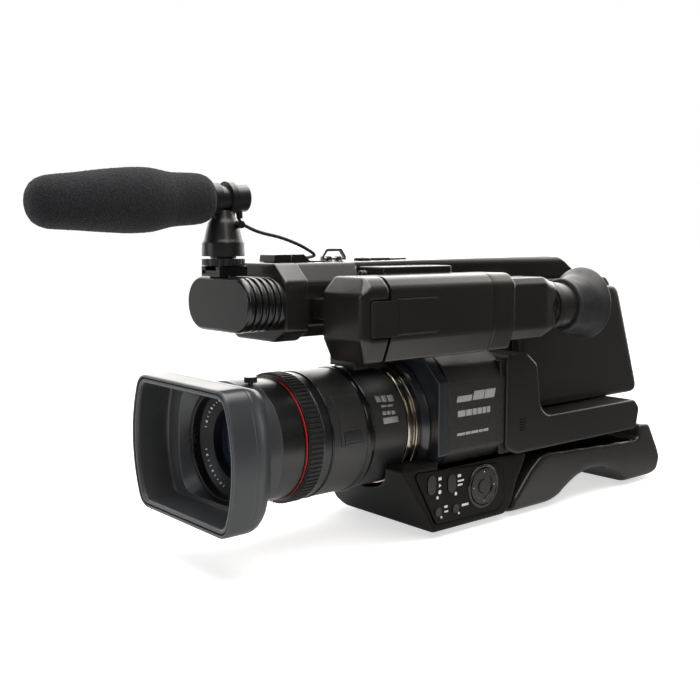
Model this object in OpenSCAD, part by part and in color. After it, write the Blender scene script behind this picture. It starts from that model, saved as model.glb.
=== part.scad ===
// Shoulder-mount camcorder with a hooded zoom lens, top handle, swing-out monitor,
// viewfinder, shoe-mounted microphone, right-hand grip and shoulder rest.
//
// Frame: +Z up, the lens looks along -Y, +X is the operator's left.
// Origin: mouth of the tripod thread, on the flat underside.
// The modules are drawn from the lens datum (Y = 0 at the hood's mouth, Z = 0 on the
// lens axis), and placed() carries them into the frame.

/* [Datum] */
// Hood mouth to tripod thread, along the lens axis
mouth_to_tripod = 215; // [213:1:217]
// Lens axis above the flat underside
axis_h = 78; // [78:0.5:80]

/* [Lens] */
// Width of the hood's mouth at mid height, where its sides bulge
hood_w = 129; // [127:1:130]
// Height of the hood's mouth
hood_h = 92; // [90:1:93]
// Wall of the hood
hood_wall = 4; // [3:0.5:4.5]
// Length of the hood before its round collar
hood_len = 36; // [36:1:37]
// Outer radius of the front barrel
front_r = 42; // [41.5:0.5:42.5]
// Outer radius of the rear barrels
barrel_r = 44.8; // [44.6:0.2:45.4]
// Radius of the filter thread
filter_r = 24.5; // [23:0.5:25]
// Number of ribs round the rubber of the manual ring
ring_ribs = 84; // [60:1:96]

/* [Body] */
// Half the width of the body at its side panels
body_half = 60; // [59:0.5:60.5]
// Half the width of the upper rear tower
tower_half = 39; // [38:0.5:39.5]
// Wall of the moulded shells
wall = 2.5; // [2:0.25:3]
// Rear end of the shoulder rest, from the hood's mouth
rest_end = 459; // [458:1:462]

/* [Handle] */
// Half the width of the handle bar
bar_half = 22; // [21:0.5:23]
// Top of the handle bar above the lens axis
bar_top = 121; // [120.5:0.5:121]
// Width of the ribbed nose
nose_w = 75; // [73:1:75]
// Height of the ribbed nose
nose_h = 36; // [35:1:36]

/* [Microphone] */
// Largest radius of the foam windscreen
foam_r = 20.1; // [19:0.1:20.5]
// Radius of the microphone tube
mic_r = 8.2; // [8:0.1:8.4]
// Nose-down tilt of the microphone
mic_tilt = 2.6; // [2:0.2:3]

/* [Viewfinder and monitor] */
// Outer face of the monitor, from the lens axis
lcd_x = 88; // [87.5:0.5:88.5]
// Thickness of the monitor
lcd_t = 16; // [15:0.5:17]
// Length of the monitor
lcd_len = 96.8; // [95:0.2:96.8]
// Radius of the eyecup's rim
eyecup_r = 29; // [27:0.5:29]

/* [Hidden] */
$fn = 96;
gap = 0.2;          // air between neighbouring pieces
run = 0.08;         // running clearance of a turning piece
z_floor = -axis_h;  // underside, from the lens datum

// ---------- shape helpers ----------

// Carries a shape from the lens datum into the object's frame.
module placed() translate([0, -mouth_to_tripod, axis_h]) children();

// Extrudes a (y, z) outline along X.
module along_x(x0, x1) translate([x0, 0, 0]) rotate([90, 0, 90]) linear_extrude(x1 - x0) children();

// Extrudes an (x, z) outline along Y.
module along_y(y0, y1) translate([0, y1, 0]) rotate([90, 0, 0]) linear_extrude(y1 - y0) children();

// Extrudes an (x, y) outline along Z.
module along_z(z0, z1) translate([0, 0, z0]) linear_extrude(z1 - z0) children();

// Turns a (radius, y) profile round the lens axis.
module turned() rotate([-90, 0, 0]) rotate_extrude() children();

// A ring round the lens axis.
module ring(r0, r1, y0, y1) turned() translate([r0, y0]) square([r1 - r0, y1 - y0]);

// A cylinder along +X, +Y from a point.
module rod_x(p, r, l) translate(p) rotate([0, 90, 0]) cylinder(r = r, h = l);
module rod_y(p, r, l) translate(p) rotate([-90, 0, 0]) cylinder(r = r, h = l);
module rod_z(p, r, l) translate(p) cylinder(r = r, h = l);

// The outline pts with each corner rounded to radius r (a number, or one per corner).
function rounded(pts, r, n = 6) = [
    for (i = [0 : len(pts) - 1])
        let (a = pts[(i + len(pts) - 1) % len(pts)], b = pts[i], c = pts[(i + 1) % len(pts)],
            u = (a - b) / norm(a - b), v = (c - b) / norm(c - b),
            half = acos(u * v) / 2, ri = is_list(r) ? r[i] : r,
            o = b + (u + v) / norm(u + v) * ri / sin(half),
            p = b + u * ri / tan(half), q = b + v * ri / tan(half),
            a0 = atan2(p.y - o.y, p.x - o.x), a1 = atan2(q.y - o.y, q.x - o.x),
            sweep = (a1 - a0 + 540) % 360 - 180)
        each ri <= 0 ? [b] : [for (k = [0 : n]) o + ri * [cos(a0 + sweep * k / n), sin(a0 + sweep * k / n)]]
];

// A w by h rectangle centred on the origin, with rounded corners.
function rect_pts(w, h) = [[w / 2, -h / 2], [w / 2, h / 2], [-w / 2, h / 2], [-w / 2, -h / 2]];
module rrect(w, h, r, n = 8) polygon(rounded(rect_pts(w, h), r, n));

// A convex (y, z) outline extruded along X, with its +X rim chamfered by c.
module soft_plate_x(x0, x1, c) hull() {
    along_x(x0, x1 - c) children();
    along_x(x0, x1) offset(delta = -c) children();
}

// ---------- lens ----------
baffle_y = 24;
collar_end = 52;
screw_at = [13, 47];

side_bulge_r = 97;

// The hood's outline: flat top and bottom, sides bulging to width w at mid height.
function hood_side(w, z) = w / 2 - side_bulge_r + sqrt(side_bulge_r * side_bulge_r - z * z);
function hood_pts(w, h, r) = let (
    zs = [for (k = [-4 : 4]) k * (h / 2 - r - 2) / 4],
    c = hood_side(w, h / 2),
    right = [for (z = zs) [hood_side(w, z), z]],
    left = [for (z = zs) [-hood_side(w, z), -z]],
    flat = [for (z = zs) 0])
    rounded(concat([[c, -h / 2]], right, [[c, h / 2], [-c, h / 2]], left, [[-c, -h / 2]]),
        concat([r], flat, [r, r], flat, [r]), 7);

module lens_hood() color("dimgray") difference() {
    union() {
        along_y(0, 18) polygon(hood_pts(hood_w, hood_h, 12));
        hull() {
            along_y(17, 24) polygon(hood_pts(hood_w - 3, hood_h - 2, 12));
            along_y(hood_len - 1, hood_len) polygon(hood_pts(hood_w - 26, hood_h - 8, 14));
        }
        ring(39.2, 43, hood_len - 1, collar_end);
    }
    difference() {
        union() {
            along_y(-1, 16) polygon(hood_pts(hood_w - 2 * hood_wall, hood_h - 2 * hood_wall, 9));
            along_y(15, hood_len - 3) polygon(hood_pts(hood_w - 32, hood_h - 18, 9));
        }
        along_y(baffle_y, hood_len - 2) difference() {
            rrect(hood_w, hood_h, 11);
            rrect(84, 72.6, 15);
        }
    }
    along_y(30, collar_end + 1) circle(39.2);
    rod_z([screw_at.x, screw_at.y, 30], 1.7, 20);
}

module hood_lock_screw() color("black") union() {
    rod_z([screw_at.x, screw_at.y, 39.4], 1.6, 4);
    difference() {
        rod_z([screw_at.x, screw_at.y, 42.8], 4.4, 3.8);
        for (a = [0 : 30 : 330])
            translate([screw_at.x, screw_at.y, 42]) rotate([0, 0, a]) translate([4.8, 0, 0])
                cylinder(r = 0.8, h = 6, $fn = 24);
    }
}

thread_end = 36;    // rear end of the filter thread; the bore is wider behind it
bore_r = 37;

module front_barrel() color("black") turned() polygon([[36, 31], [39, 31], [39, collar_end + gap],
    [front_r, collar_end + gap], [front_r, 70], [bore_r, 70], [bore_r, thread_end], [36, thread_end]]);

module name_ring() color("black") turned() polygon([[filter_r, 41], [28, 40.2], [34, thread_end + gap],
    [bore_r - gap, thread_end + gap], [bore_r - gap, 47], [filter_r, 47]]);

module front_element() color("midnightblue") turned() polygon(concat(
    [[0, 53], [0, 43.6]], [for (k = [1 : 10]) [2.4 * k, 43.6 + 3.6 * pow(k / 10, 2)]],
    [[33, 47.2], [33, 53]]));

module accent_ring() color("red") ring(40.2, front_r + 0.4, 70 + gap, 72);

module manual_ring() color("black") turned() polygon([[40, 72.3], [43.5, 72.3], [43.5, 83.2], [44.8, 83.2],
    [44.8, 85], [44.4, 91.7], [40, 91.7]]);

module ring_grip() {
    tooth = 360 / ring_ribs;
    color("black") along_y(72.6, 83) difference() {
        polygon([for (i = [0 : ring_ribs - 1]) for (s = [[0.1, 0], [0.25, 1], [0.6, 1], [0.75, 0]])
            let (a = (i + s.x) * tooth, r = 44.5 + 1.1 * s.y) r * [cos(a), sin(a)]]);
        circle(43.52);
    }
}

pod_angle = 20;     // middle of the button pod, above the horizontal
pod_button = [4, 100.6, 116.2];    // its button: elevation, front end, rear end

module function_barrel() color("black") difference() {
    union() {
        ring(38.2, barrel_r, 92, 126);
        ring(bore_r, 40 - run, 72.2, 92.1);
        intersection() {
            ring(barrel_r - 1, barrel_r + 1.4, 98, 119);
            rotate([0, -pod_angle, 0]) translate([30, 90, -18]) cube([20, 40, 36]);
        }
    }
    rotate([0, -pod_button[0], 0]) translate([41, pod_button[1], -4]) cube([10,
    pod_button[2] - pod_button[1], 8]);
}

module camera_function_button() color("gray") intersection() {
    rotate([0, -pod_button[0], 0])
        translate([42.4, pod_button[1] + gap, -3.8]) cube([8, pod_button[2] - pod_button[1] - 2 * gap,
            7.6]);
    ring(40, barrel_r + 1.9, 98, 119);
}

module rear_barrel() color("black") union() {
    ring(38.2, barrel_r - 0.5, 126 + gap, 160);
    ring(38.2, 39.8, 159, 175.8);
}

module chrome_ring() color("silver") turned() polygon([[40, 160 + gap], [45.2, 160 + gap], [46, 161],
    [46, 165],
    [44.6, 165.6], [44.6, 166.6], [46.8, 167.2], [46.8, 170.8], [40, 170.8]]);

module flange_ring() color("black") turned() polygon([[40, 171], [48.6, 171], [50, 172.4], [52, 175],
    [52, 175.8],
    [40, 175.8]]);

module inner_tube() color("dimgray") ring(33.2, 36, 53.4, 168);

// A lens cell of a given span: a black carrier with its glass in one piece.
module cell(y0, y1, r) {
    color("dimgray") ring(r - 0.5, 33.1, y0, y1);
    color("lightblue") ring(0, r, y0 + 2, y1 - 2);
}

module lens_groups() {
    cell(84, 96, 20);
    cell(130, 142, 18);
}

// ---------- body ----------
bezel_y = 176;
cover_y = 186;
panel_y = 247;
tower_y = 287;
band_end = 424;
body_low = -28;
base_top = body_low - gap;

bezel_pts = [[body_half, -18], [body_half, 35], [33, 62], [-33, 62], [-body_half, 35], [-body_half, -18],
    [-50, body_low],
    [50, body_low]];

module front_bezel() color("black") difference() {
    along_y(bezel_y, cover_y) polygon(rounded(bezel_pts, 1.5, 4));
    along_y(bezel_y - 1, cover_y + 1) circle(37);
}

shoulder_pts = [[0, body_low], [52, body_low], [body_half, -17], [body_half, 33], [53, 45], [34, 58], [0,
    58]];

module left_cover() color("dimgray") difference() {
    along_y(cover_y + gap, panel_y) polygon(rounded(shoulder_pts, [0, 6, 8, 6, 8, 6, 0]));
    along_y(cover_y, panel_y + 1) offset(delta = -wall) polygon(shoulder_pts);
    translate([-1, cover_y, body_low + wall]) cube([5, 80, 58 - body_low - 2 * wall]);
}

right_pts = [[cover_y + gap, body_low], [cover_y + gap, 58], [tower_y - gap, 58], [tower_y - gap, -2 - gap],
    [band_end, -2 - gap], [420, body_low]];

module right_cover() color("dimgray") difference() {
    intersection() {
        along_x(-body_half, -gap) polygon(right_pts);
        along_y(cover_y, band_end + 10) mirror([1, 0]) polygon(rounded(shoulder_pts, [0, 6, 8, 6, 8, 6,
            0]));
    }
    intersection() {
        along_x(-body_half + wall, 1) offset(delta = -wall) polygon(right_pts);
        along_y(cover_y, band_end + 10) mirror([1, 0]) offset(delta = -wall) polygon(
            concat([[-10, body_low]], [for (i = [1 : 5]) shoulder_pts[i]], [[-10, 58]]));
    }
    rod_x([-body_half - 1, 262, 20], 3.05, 2 * wall);
    rod_x([-body_half - 1, 262, 6], 3.05, 2 * wall);
}

band_pts = [[panel_y + gap, -23], [panel_y + gap, 50], [270, 50], [283, 40], [tower_y - gap, 14],
    [tower_y - gap, -2 - gap], [band_end - 7, -2 - gap], [band_end, -10], [420, body_low], [260, body_low]];

inner_r = 16;       // the raised panel's inner corner

module side_panel() color("dimgray") difference() {
    union() {
        along_x(0, body_half + 2) polygon(rounded(band_pts, [5, 5, 5, 8, 0, 0, 4, 4, 4, 3]));
        along_x(tower_half + gap, body_half + 2) polygon(concat([[tower_y - gap - 1, -3 - gap]],
            [for (a = [270 : -7.5 : 180])
                inner_r * [cos(a), sin(a)] + [tower_y - gap + inner_r, inner_r - 2 - gap]]));
    }
    along_x(-1, body_half + 2 - wall) offset(delta = -wall) polygon(band_pts);
}

tower_pts = [[tower_y, -2], [tower_y, 100], [292, 104], [415, 104], [421, 98], [456, 4], [453, -2]];
cheek_x = 30;

module tower_shell() color("dimgray") difference() {
    union() {
        difference() {
            along_x(-tower_half, cheek_x - gap) polygon(rounded(tower_pts, [0, 3, 3, 6, 5, 5, 0]));
            along_x(-tower_half + wall, cheek_x) offset(delta = -wall) polygon(
                [[tower_y, -2], [tower_y, 104], [410, 104], [440, -2]]);
            translate([-20, 400, 8]) cube([40, 60, 62]);
            latch_pocket();
        }
        translate([-tower_half + 1, door_y[0] + 1, 22]) cube([12, door_y[1] - door_y[0] - 2, 54]);
    }
    translate([-tower_half - 1, door_y[0] + 4, 25]) cube([4, door_y[1] - door_y[0] - 8, 48]);
    for (z = [34, 56])
        translate([-tower_half, door_y[0] + 8, z]) cube([11, 25, 3]);
}

module latch_pocket() translate([-5.2, 420, 76]) cube([14, 20, 8]);

cheek_pts = [[tower_y, -1.8], [tower_y, 97], [421.2, 97], [455.6, 4], [452, -1.8]];

module cheek_panel() color("dimgray") difference() {
    soft_plate_x(cheek_x, tower_half, 2.5) polygon(rounded(cheek_pts, [16, 8, 10, 8, 6], 8));
    along_x(cheek_x - 1, tower_half - 4) offset(delta = -9) polygon(cheek_pts);
}

// The tower's slanted back, as a (y, z) line offset backwards by d.
function back_line(z, d) = [456 - (z - 4) * 35 / 94 + d, z];

module rear_cover() color("black") difference() {
    translate([0, 0, 0]) along_x(-25, 25) polygon([back_line(4, 0.3), back_line(4, 3.5), back_line(90, 3.5),
        back_line(90, 0.3)]);
    translate([-20, 400, 8]) cube([40, 80, 62]);
    latch_pocket();
}

battery_pts = [[401, 9], [back_line(9, 5).x, 9], [back_line(68, 5).x, 68], [401, 68]];

module battery_pack() color("dimgray") along_x(-19.5, 19.5) polygon(rounded(battery_pts, [1, 3, 3, 1]));

module battery_latch() color("gray") along_x(-5, 5) polygon([back_line(76.6, 0.5), back_line(76.6, 3.9),
    back_line(78.4, 3.9), back_line(78.6, 5), back_line(81.4, 5), back_line(81.6, 3.9), back_line(83.4,
    3.9),
    back_line(83.4, 0.5)]);

door_y = [300, 345];

module card_door() color("black") union() {
    along_x(-tower_half - 2.2, -tower_half - gap) polygon(rounded([[door_y[0], 20], [door_y[0], 78],
        [door_y[1], 78], [door_y[1], 20]], 4));
    rod_z([-tower_half - 1.7, door_y[0] - 1, 22], 1.4, 54);
}

module main_board() color("green") union() {
    translate([-20, 200, -15]) cube([1.6, 180, 8]);
    translate([-20, 200, -12]) cube([1.6, 78, 60]);
    translate([-18.4, 215, 0]) cube([4, 24, 24]);
    translate([-18.4, 250, 6]) cube([3, 16, 16]);
    translate([-14, 192, -14]) cube([28, 1.6, 28]);
    translate([-5, 190.4, -4]) cube([10, 1.6, 8]);
    translate([-20, 192, -12]) cube([8, 1.6, 20]);
    translate([-20, 193, -12]) cube([1.6, 8, 20]);
}

// ---------- base and controls ----------
base_pts = [[139, -22], [bezel_y - gap, -22], [bezel_y - gap, base_top], [275, base_top], [262, -52],
    [257, -66], [244, z_floor], [184, z_floor], [175, -75], [166, -61]];

// The underside's cross-section: the edges roll up to the sides.
under_pts = rounded([[64, -10], [64, -60], [body_half, -73], [48, z_floor], [-40, z_floor], [-52, -68],
    [-52, -10]], 4);
base_left = body_half;
base_right = -50;

module base_housing() color("dimgray") difference() {
    intersection() {
        along_x(base_right, base_left) polygon(rounded(base_pts, [2, 0, 0, 3, 12, 6, 8, 6, 6, 14]));
        along_y(130, 280) polygon(under_pts);
    }
    along_y(120, bezel_y) circle(47.8);
    along_y(170, bezel_y) circle(52.3);
    along_x(base_right + wall, base_left - wall) polygon([[bezel_y + 2, base_top + 1], [247, base_top + 1],
        [250, -60], [242, z_floor + 6], [188, z_floor + 6], [bezel_y + 4, -68]]);
    along_x(base_left - 1.2, base_left + 1) polygon(plate_pts);
    along_x(base_left - 7, base_left) polygon(window_pts);
    along_z(z_floor - 1, z_floor + 3) translate([0, mouth_to_tripod]) square([44, 44], center = true);
    rod_z([0, mouth_to_tripod, z_floor], 8.2, 12);
    for (x = [-17, 17], y = [-17, 17])
        rod_z([x, mouth_to_tripod + y, z_floor + 1], 1.6, 4);
}

plate_pts = rounded([[151, -26.5], [244, -32], [247, -60], [240, -68], [174, -67.5]], 3);
window_pts = rounded([[156.5, -29], [243, -33.2], [245, -59], [239, -66.5], [172.5, -66]], 3);
plate_x = base_left - 1;
dial_at = [223, -47];
button_at = [[168.5, -37.5], [189, -39.5], [175.5, -58.2], [193.5, -58.8]];
button_r = [4, 4, 3.4, 3.4];
button_tall = [3, 3, 0, 0];     // half the straight length of the two tall buttons

module control_plate() color("black") difference() {
    along_x(plate_x, plate_x + 1.6) offset(delta = -gap) polygon(plate_pts);
    rod_x([plate_x - 1, dial_at.x, dial_at.y], 13.8, 4);
    for (i = [0 : 3])
        button_form(i, plate_x - 1, 4, 0.15);
}

// A button's outline along X, grown by d: round, or tall with round ends.
module button_form(i, x, l, d) hull() for (z = [-button_tall[i], button_tall[i]])
    rod_x([x, button_at[i].x, button_at[i].y + z], button_r[i] + d, l);

module nav_dial() color("black") difference() {
    rod_x([plate_x - 2, dial_at.x, dial_at.y], 13.6, 4.8);
    rod_x([plate_x - 3, dial_at.x, dial_at.y], 5.2, 7);
    rod_x([plate_x + 1.8, dial_at.x, dial_at.y], 9.5, 2);
}

module nav_centre_button() color("gray") rod_x([plate_x - 2, dial_at.x, dial_at.y], 5.05, 4.6);

module panel_button(i) color("gray") button_form(i, plate_x - 2, 4.4, 0);

thread_r = 3.175;   // quarter-inch tripod thread

module tripod_plate() color("silver") difference() {
    union() {
        translate([-21.8, mouth_to_tripod - 21.8, z_floor]) cube([43.6, 43.6, 2.8]);
        rod_z([0, mouth_to_tripod, z_floor], 8, 11);
    }
    rod_z([0, mouth_to_tripod, z_floor - 1], thread_r, 10);
    for (x = [-17, 17], y = [-17, 17]) {
        rod_z([x, mouth_to_tripod + y, z_floor - 1], 1.6, 5);
        rod_z([x, mouth_to_tripod + y, z_floor - 1], 3.1, 2.6);
    }
}

// One cross-head screw, head down, at a point on the underside.
module screw_up(p) union() {
    difference() {
        rod_z(p, 2.9, 1.5);
        translate([p.x - 2, p.y - 0.35, p.z - 0.1]) cube([4, 0.7, 0.8]);
        translate([p.x - 0.35, p.y - 2, p.z - 0.1]) cube([0.7, 4, 0.8]);
    }
    rod_z([p.x, p.y, p.z + 1.4], 1.5, 3.4);
}

module case_screws() color("silver")
    for (x = [-17, 17], y = [-17, 17]) screw_up([x, mouth_to_tripod + y, z_floor + 0.1]);

// ---------- shoulder rest ----------
arm_top = body_low - 5;
arch_y = [312, 420];
arch_top = -55;

function arch(y, d) = arch_top + d - 22 * pow((y - 362) / 54, 2);
arm_pts = concat([[258, -72], [261, -64], [280, -44], [292, arm_top - 2], [302, arm_top], [428, -39],
    [430, -26], [444, -27],
    [rest_end - 1, -50], [rest_end + 4, -60], [rest_end, -71], [444, z_floor], [424, z_floor]],
    [for (y = [arch_y[1] - 4 : -9 : arch_y[0]]) [y, arch(y, 0)]], [[300, z_floor + 2], [290, z_floor],
    [264, z_floor]]);

module shoulder_arm() color("dimgray") difference() {
    intersection() {
        along_x(-52, body_half) polygon(arm_pts);
        along_y(250, 470) polygon(under_pts);
    }
    along_x(-48, body_half - 4) polygon([[306, arm_top + 2], [424, -37], [424, -66], [404, -60], [390,
        -52], [362, -48],
        [334, -52], [310, -62]]);
    along_x(-46, body_half - 6) polygon(concat([for (y = [334 : 8 : 390]) [y, arch(y, 2.5)]], [[390,
        -90], [334, -90]]));
}

module shoulder_cushion() color("black") along_x(-45.8, body_half - 6.2) polygon(concat(
    [for (y = [335 : 6 : 389]) [y, arch(y, 2.2)]], [for (y = [389 : -6 : 335]) [y, arch(y, -2.5)]]));

// ---------- handle ----------
head_y = 60;        // front of the handle's octagonal head
head_end = 130;
nose_z = 94.5;
post = [130, 160];
head_pts = [[35, 77], [35, 109], [22, 121], [-22, 121], [-35, 109], [-35, 77], [-22, 69], [22, 69]];

module handle_bar() along_x(-bar_half, bar_half) polygon(rounded([[head_end, 77], [head_end, bar_top],
    [344, bar_top + 2], [360, bar_top + 1], [388, 104 + gap], [284, 104 + gap], [262, 106], [180, 104],
    [162, 96],
    [160, 77]], [0, 0, 0, 6, 0, 0, 12, 14, 6, 0]));

// The post in front of the body, and the spine that runs back from it over the body's top.
module handle_post() along_x(-7, 21) polygon([[post[0], 80], [post[0], 44], [post[1], 44], [163, 62.3],
    [cover_y + gap, 62.3], [cover_y + gap, 58.3], [258, 58.3], [258, 62], [192, 66], [168, 72], [163, 80]]);

module loop_lugs() for (y = [122, 131]) along_x(-3, 3)
    translate([y, bar_top - 0.5]) square([3, 4.4]);

module handle_body() color("dimgray") union() {
    difference() {
        union() {
            along_y(head_y, 79) polygon(rounded(head_pts, 4, 4));
            along_y(79, head_end) polygon(rounded([[30, 80], [30, 108], [20, bar_top], [-20, bar_top],
                [-30, 108], [-30, 80], [-22, 71], [22, 71]], 4, 4));
            intersection() {
                handle_bar();
                along_y(head_end, 390) polygon(rounded([[bar_half, 70], [bar_half, bar_top + 2.2],
                    [-bar_half, bar_top + 2.2], [-bar_half, 70]], [0, 7, 7, 0], 5));
            }
            handle_post();
            loop_lugs();
        }
        along_y(120, 170) circle(46.2);
        along_x(-bar_half + 3, bar_half - 3) polygon([[110, 82], [110, 112], [338, 118], [350, 117],
            [362, 108],
            [284, 108], [262, 110], [180, 108], [150, 100], [148, 82]]);
        rod_y([0, 40, nose_z - 4], 6 + 0.2, 38);
        translate([-9.2, 69.8, 106]) cube([18.4, 14.4, 20]);
        translate([-9.2, 85.2, 106]) cube([18.4, 15.6, 20]);
        rod_y([0, loop_y[0] - 8, 123], 1 + run, 40);
        rod_x([-32, 98, 93], 3.1, 14);
    }
    rod_x([-10, rocker_at[0], rocker_at[1]], 1.2, 20);
}

rocker_at = [93, 117.4];

module handle_nose() color("black") translate([0, 0, nose_z]) union() {
    along_y(34, head_y - gap) rrect(nose_w - 5, nose_h - 4, 15.5, 12);
    for (y = [36.5, 41.5, 46.5, 51.5])
        along_y(y, y + 3) rrect(nose_w - 1, nose_h - 0.5, 17.5, 12);
    hull() {
        along_y(30, 31) rrect(nose_w - 3, nose_h - 3, 16, 12);
        along_y(31.5, 35) rrect(nose_w, nose_h, 17.8, 12);
    }
    along_y(56, head_y - gap) rrect(nose_w - 2, nose_h - 1, 17, 12);
    rod_y([0, head_y - 2, -4], 6, 12);
}

module handle_rec_button() color("black") union() {
    along_x(-9, 9) polygon(rounded([[70, bar_top + gap], [70.6, 126.4], [84, 126.4], [84, bar_top + gap]],
        [0, 1, 0.6, 0], 4));
    translate([-6, 72, 114]) cube([12, 10, 8]);
}

module handle_zoom_rocker() color("black") difference() {
    along_x(-9, 9) polygon([[85.8, 121.4], [85.8, 126.4], [95, 126.4], [100.2, 121.8], [100.2, 120.6],
        [96, 114.4], [90, 114.4], [85.8, 120.6]]);
    rod_x([-12, rocker_at[0], rocker_at[1]], 1.2 + run, 24);
}

loop_y = [117, 139];

// A bent wire: a straight bar in the lugs and a trapezoid standing on it.
module strap_loop() color("silver") union() {
    rod_y([0, loop_y[0] + 0.6, 123], 1, loop_y[1] - loop_y[0] - 1.2);
    difference() {
        along_x(-1, 1) polygon(rounded([[loop_y[0], 122], [loop_y[0], 124.5], [loop_y[0] + 4, 130],
            [loop_y[1] - 4, 130], [loop_y[1], 124.5], [loop_y[1], 122]], [0.5, 1, 2, 2, 1, 0.5], 4));
        along_x(-2, 2) polygon(rounded([[loop_y[0] + 2.2, 121], [loop_y[0] + 2.2, 124.5], [loop_y[0] + 5,
            128.2],
            [loop_y[1] - 5, 128.2], [loop_y[1] - 2.2, 124.5], [loop_y[1] - 2.2, 121]], [0, 1, 1, 1, 1,
            0], 4));
    }
}

// ---------- microphone ----------
shoe_y = 35.5;
shoe_z = 112.7;
mic_z = 163;

module accessory_shoe() color("black") difference() {
    translate([-11, shoe_y - 10, shoe_z]) cube([22, 21.5, 6.6]);
    translate([-9.4, shoe_y - 14, shoe_z + 1.6]) cube([18.8, 24, 2.4]);
    translate([-6.4, shoe_y - 14, shoe_z + 3]) cube([12.8, 24, 5]);
}

module shoe_lock_wheel() color("black") difference() {
    rod_z([0, shoe_y, shoe_z + 7], 14, 4.4);
    rod_z([0, shoe_y, shoe_z + 6], 4 + run, 7);
    for (a = [0 : 15 : 345])
        translate([0, shoe_y, shoe_z + 6]) rotate([0, 0, a]) translate([14.7, 0, 0]) cylinder(r = 1.1,
            h = 7, $fn = 24);
}

// The bell-shaped stem, with the foot that slides into the shoe.
module stem_turn() translate([0, shoe_y, 0]) rotate_extrude() polygon([[0, shoe_z + 2], [4, shoe_z + 2],
    [4, shoe_z + 11.6],
    [8.5, shoe_z + 11.6], [8.5, shoe_z + 13], [14, shoe_z + 13], [14, 134], [12.6, 137], [11.4, 142],
    [10, 147], [8.4, 150],
    [7, 155], [0, 155]]);

module mic_tilted() translate([0, shoe_y, mic_z]) rotate([mic_tilt, 0, 0]) children();

module mic_stem() color("black") difference() {
    union() {
        stem_turn();
        translate([-9.2, shoe_y - 9, shoe_z + 1.8]) cube([18.4, 18, 2]);
        mic_tilted() {
            rod_y([0, -10, 0], 10.4, 5.5);
            rod_y([0, 2.2, 0], 10.8, 4.4);
            translate([-4, -8.5, -13]) cube([8, 15, 8]);
        }
        rod_x([9, shoe_y + 5, 146], 2.4, 6);
    }
    mic_tilted() rod_y([0, -20, 0], mic_r + 0.1, 40);
}

module mic_tube() color("black") mic_tilted() union() {
    rod_y([0, -118, 0], mic_r - 0.6, 120);
    rod_y([0, -16, 0], mic_r, 28);
    rod_y([0, 7, 0], 9.2, 9.6);
    rod_z([0, 12.6, -13.4], 2.2, 10);
}

foam_profile = [[0, -130.5], [6, -130], [11, -127.5], [14.4, -122.5], [16, -114], [17.8, -96], [19.4,
    -76], [foam_r, -60],
    [foam_r - 0.2, -54], [18.6, -47], [17.2, -41], [16.7, -36], [16.4, -22], [15.8, -17], [14, -13.2],
    [11.4, -11.2],
    [mic_r + 0.1, -10.6]];

module mic_windscreen() color("black") mic_tilted() rotate([-90, 0, 0]) rotate_extrude()
    polygon(concat(foam_profile, [[mic_r + 0.1, -16.2], [mic_r - 0.5, -16.2], [mic_r - 0.5, -118.2], [0,
        -118.2]]));

// Centre line of the cable: from the microphone's tail over the handle to the input on its right side.
cable_knots = [[0, 47, 158], [0, 48.8, 148.6], [0, 56.2, 144.2], [0, 66.4, 140.9], [0, 81, 138], [0, 94,
    134.1],
    [0, 104, 130], [-2, 112.4, 125.8], [-12, 115, 123.8], [-22, 114.4, 122.6], [-32, 111, 114], [-38.5,
    104, 102],
    [-39.6, 98.4, 94], [-34, 98, 90]];
function knot_pt(a, b, c, d, t) = 0.5 * (2 * b + (c - a) * t + (2 * a - 5 * b + 4 * c - d) * t * t
    + (3 * b - a - 3 * c + d) * t * t * t);
cable_path = [for (i = [1 : len(cable_knots) - 3], k = [0 : 3])
    knot_pt(cable_knots[i - 1], cable_knots[i], cable_knots[i + 1], cable_knots[i + 2], k / 4)];

module mic_cable() color("black") union() {
    for (i = [0 : len(cable_path) - 2]) hull() {
        translate(cable_path[i]) sphere(r = 1.2, $fn = 14);
        translate(cable_path[i + 1]) sphere(r = 1.2, $fn = 14);
    }
    rod_x([-42, 98, 93], 3.8, 11.6);
    rod_x([-31, 98, 93], 2.9, 8);
}

// ---------- viewfinder and monitor ----------
vf_inner = 46;
vf_low = 58;
vf_top = 113;
lcd_y0 = 103.8;
lcd_y1 = lcd_y0 + lcd_len;
vf_rear = lcd_y1 + 1.2;
vf_mid = 224;
vf_end = 276;
cup_y = 300;        // front of the eyecup
eye = [68, 86];
hinge = [lcd_x - 4.5, 91.8];
hinge_z = [75, 98];
arm_end = 110;
vf_pts = [[lcd_x, 73], [lcd_x, 106], [lcd_x - 7, vf_top], [vf_inner + 6, vf_top], [vf_inner, 107],
    [vf_inner, 73],
    [vf_inner + 2, vf_low], [lcd_x - 6, vf_low]];

vf_r = [8, 7, 8, 4, 4, 1.2, 2, 3];

module vf_section(x0, x1) intersection() {
    polygon(rounded(vf_pts, vf_r, 5));
    translate([x0, 0]) square([x1 - x0, 200]);
}

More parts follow.
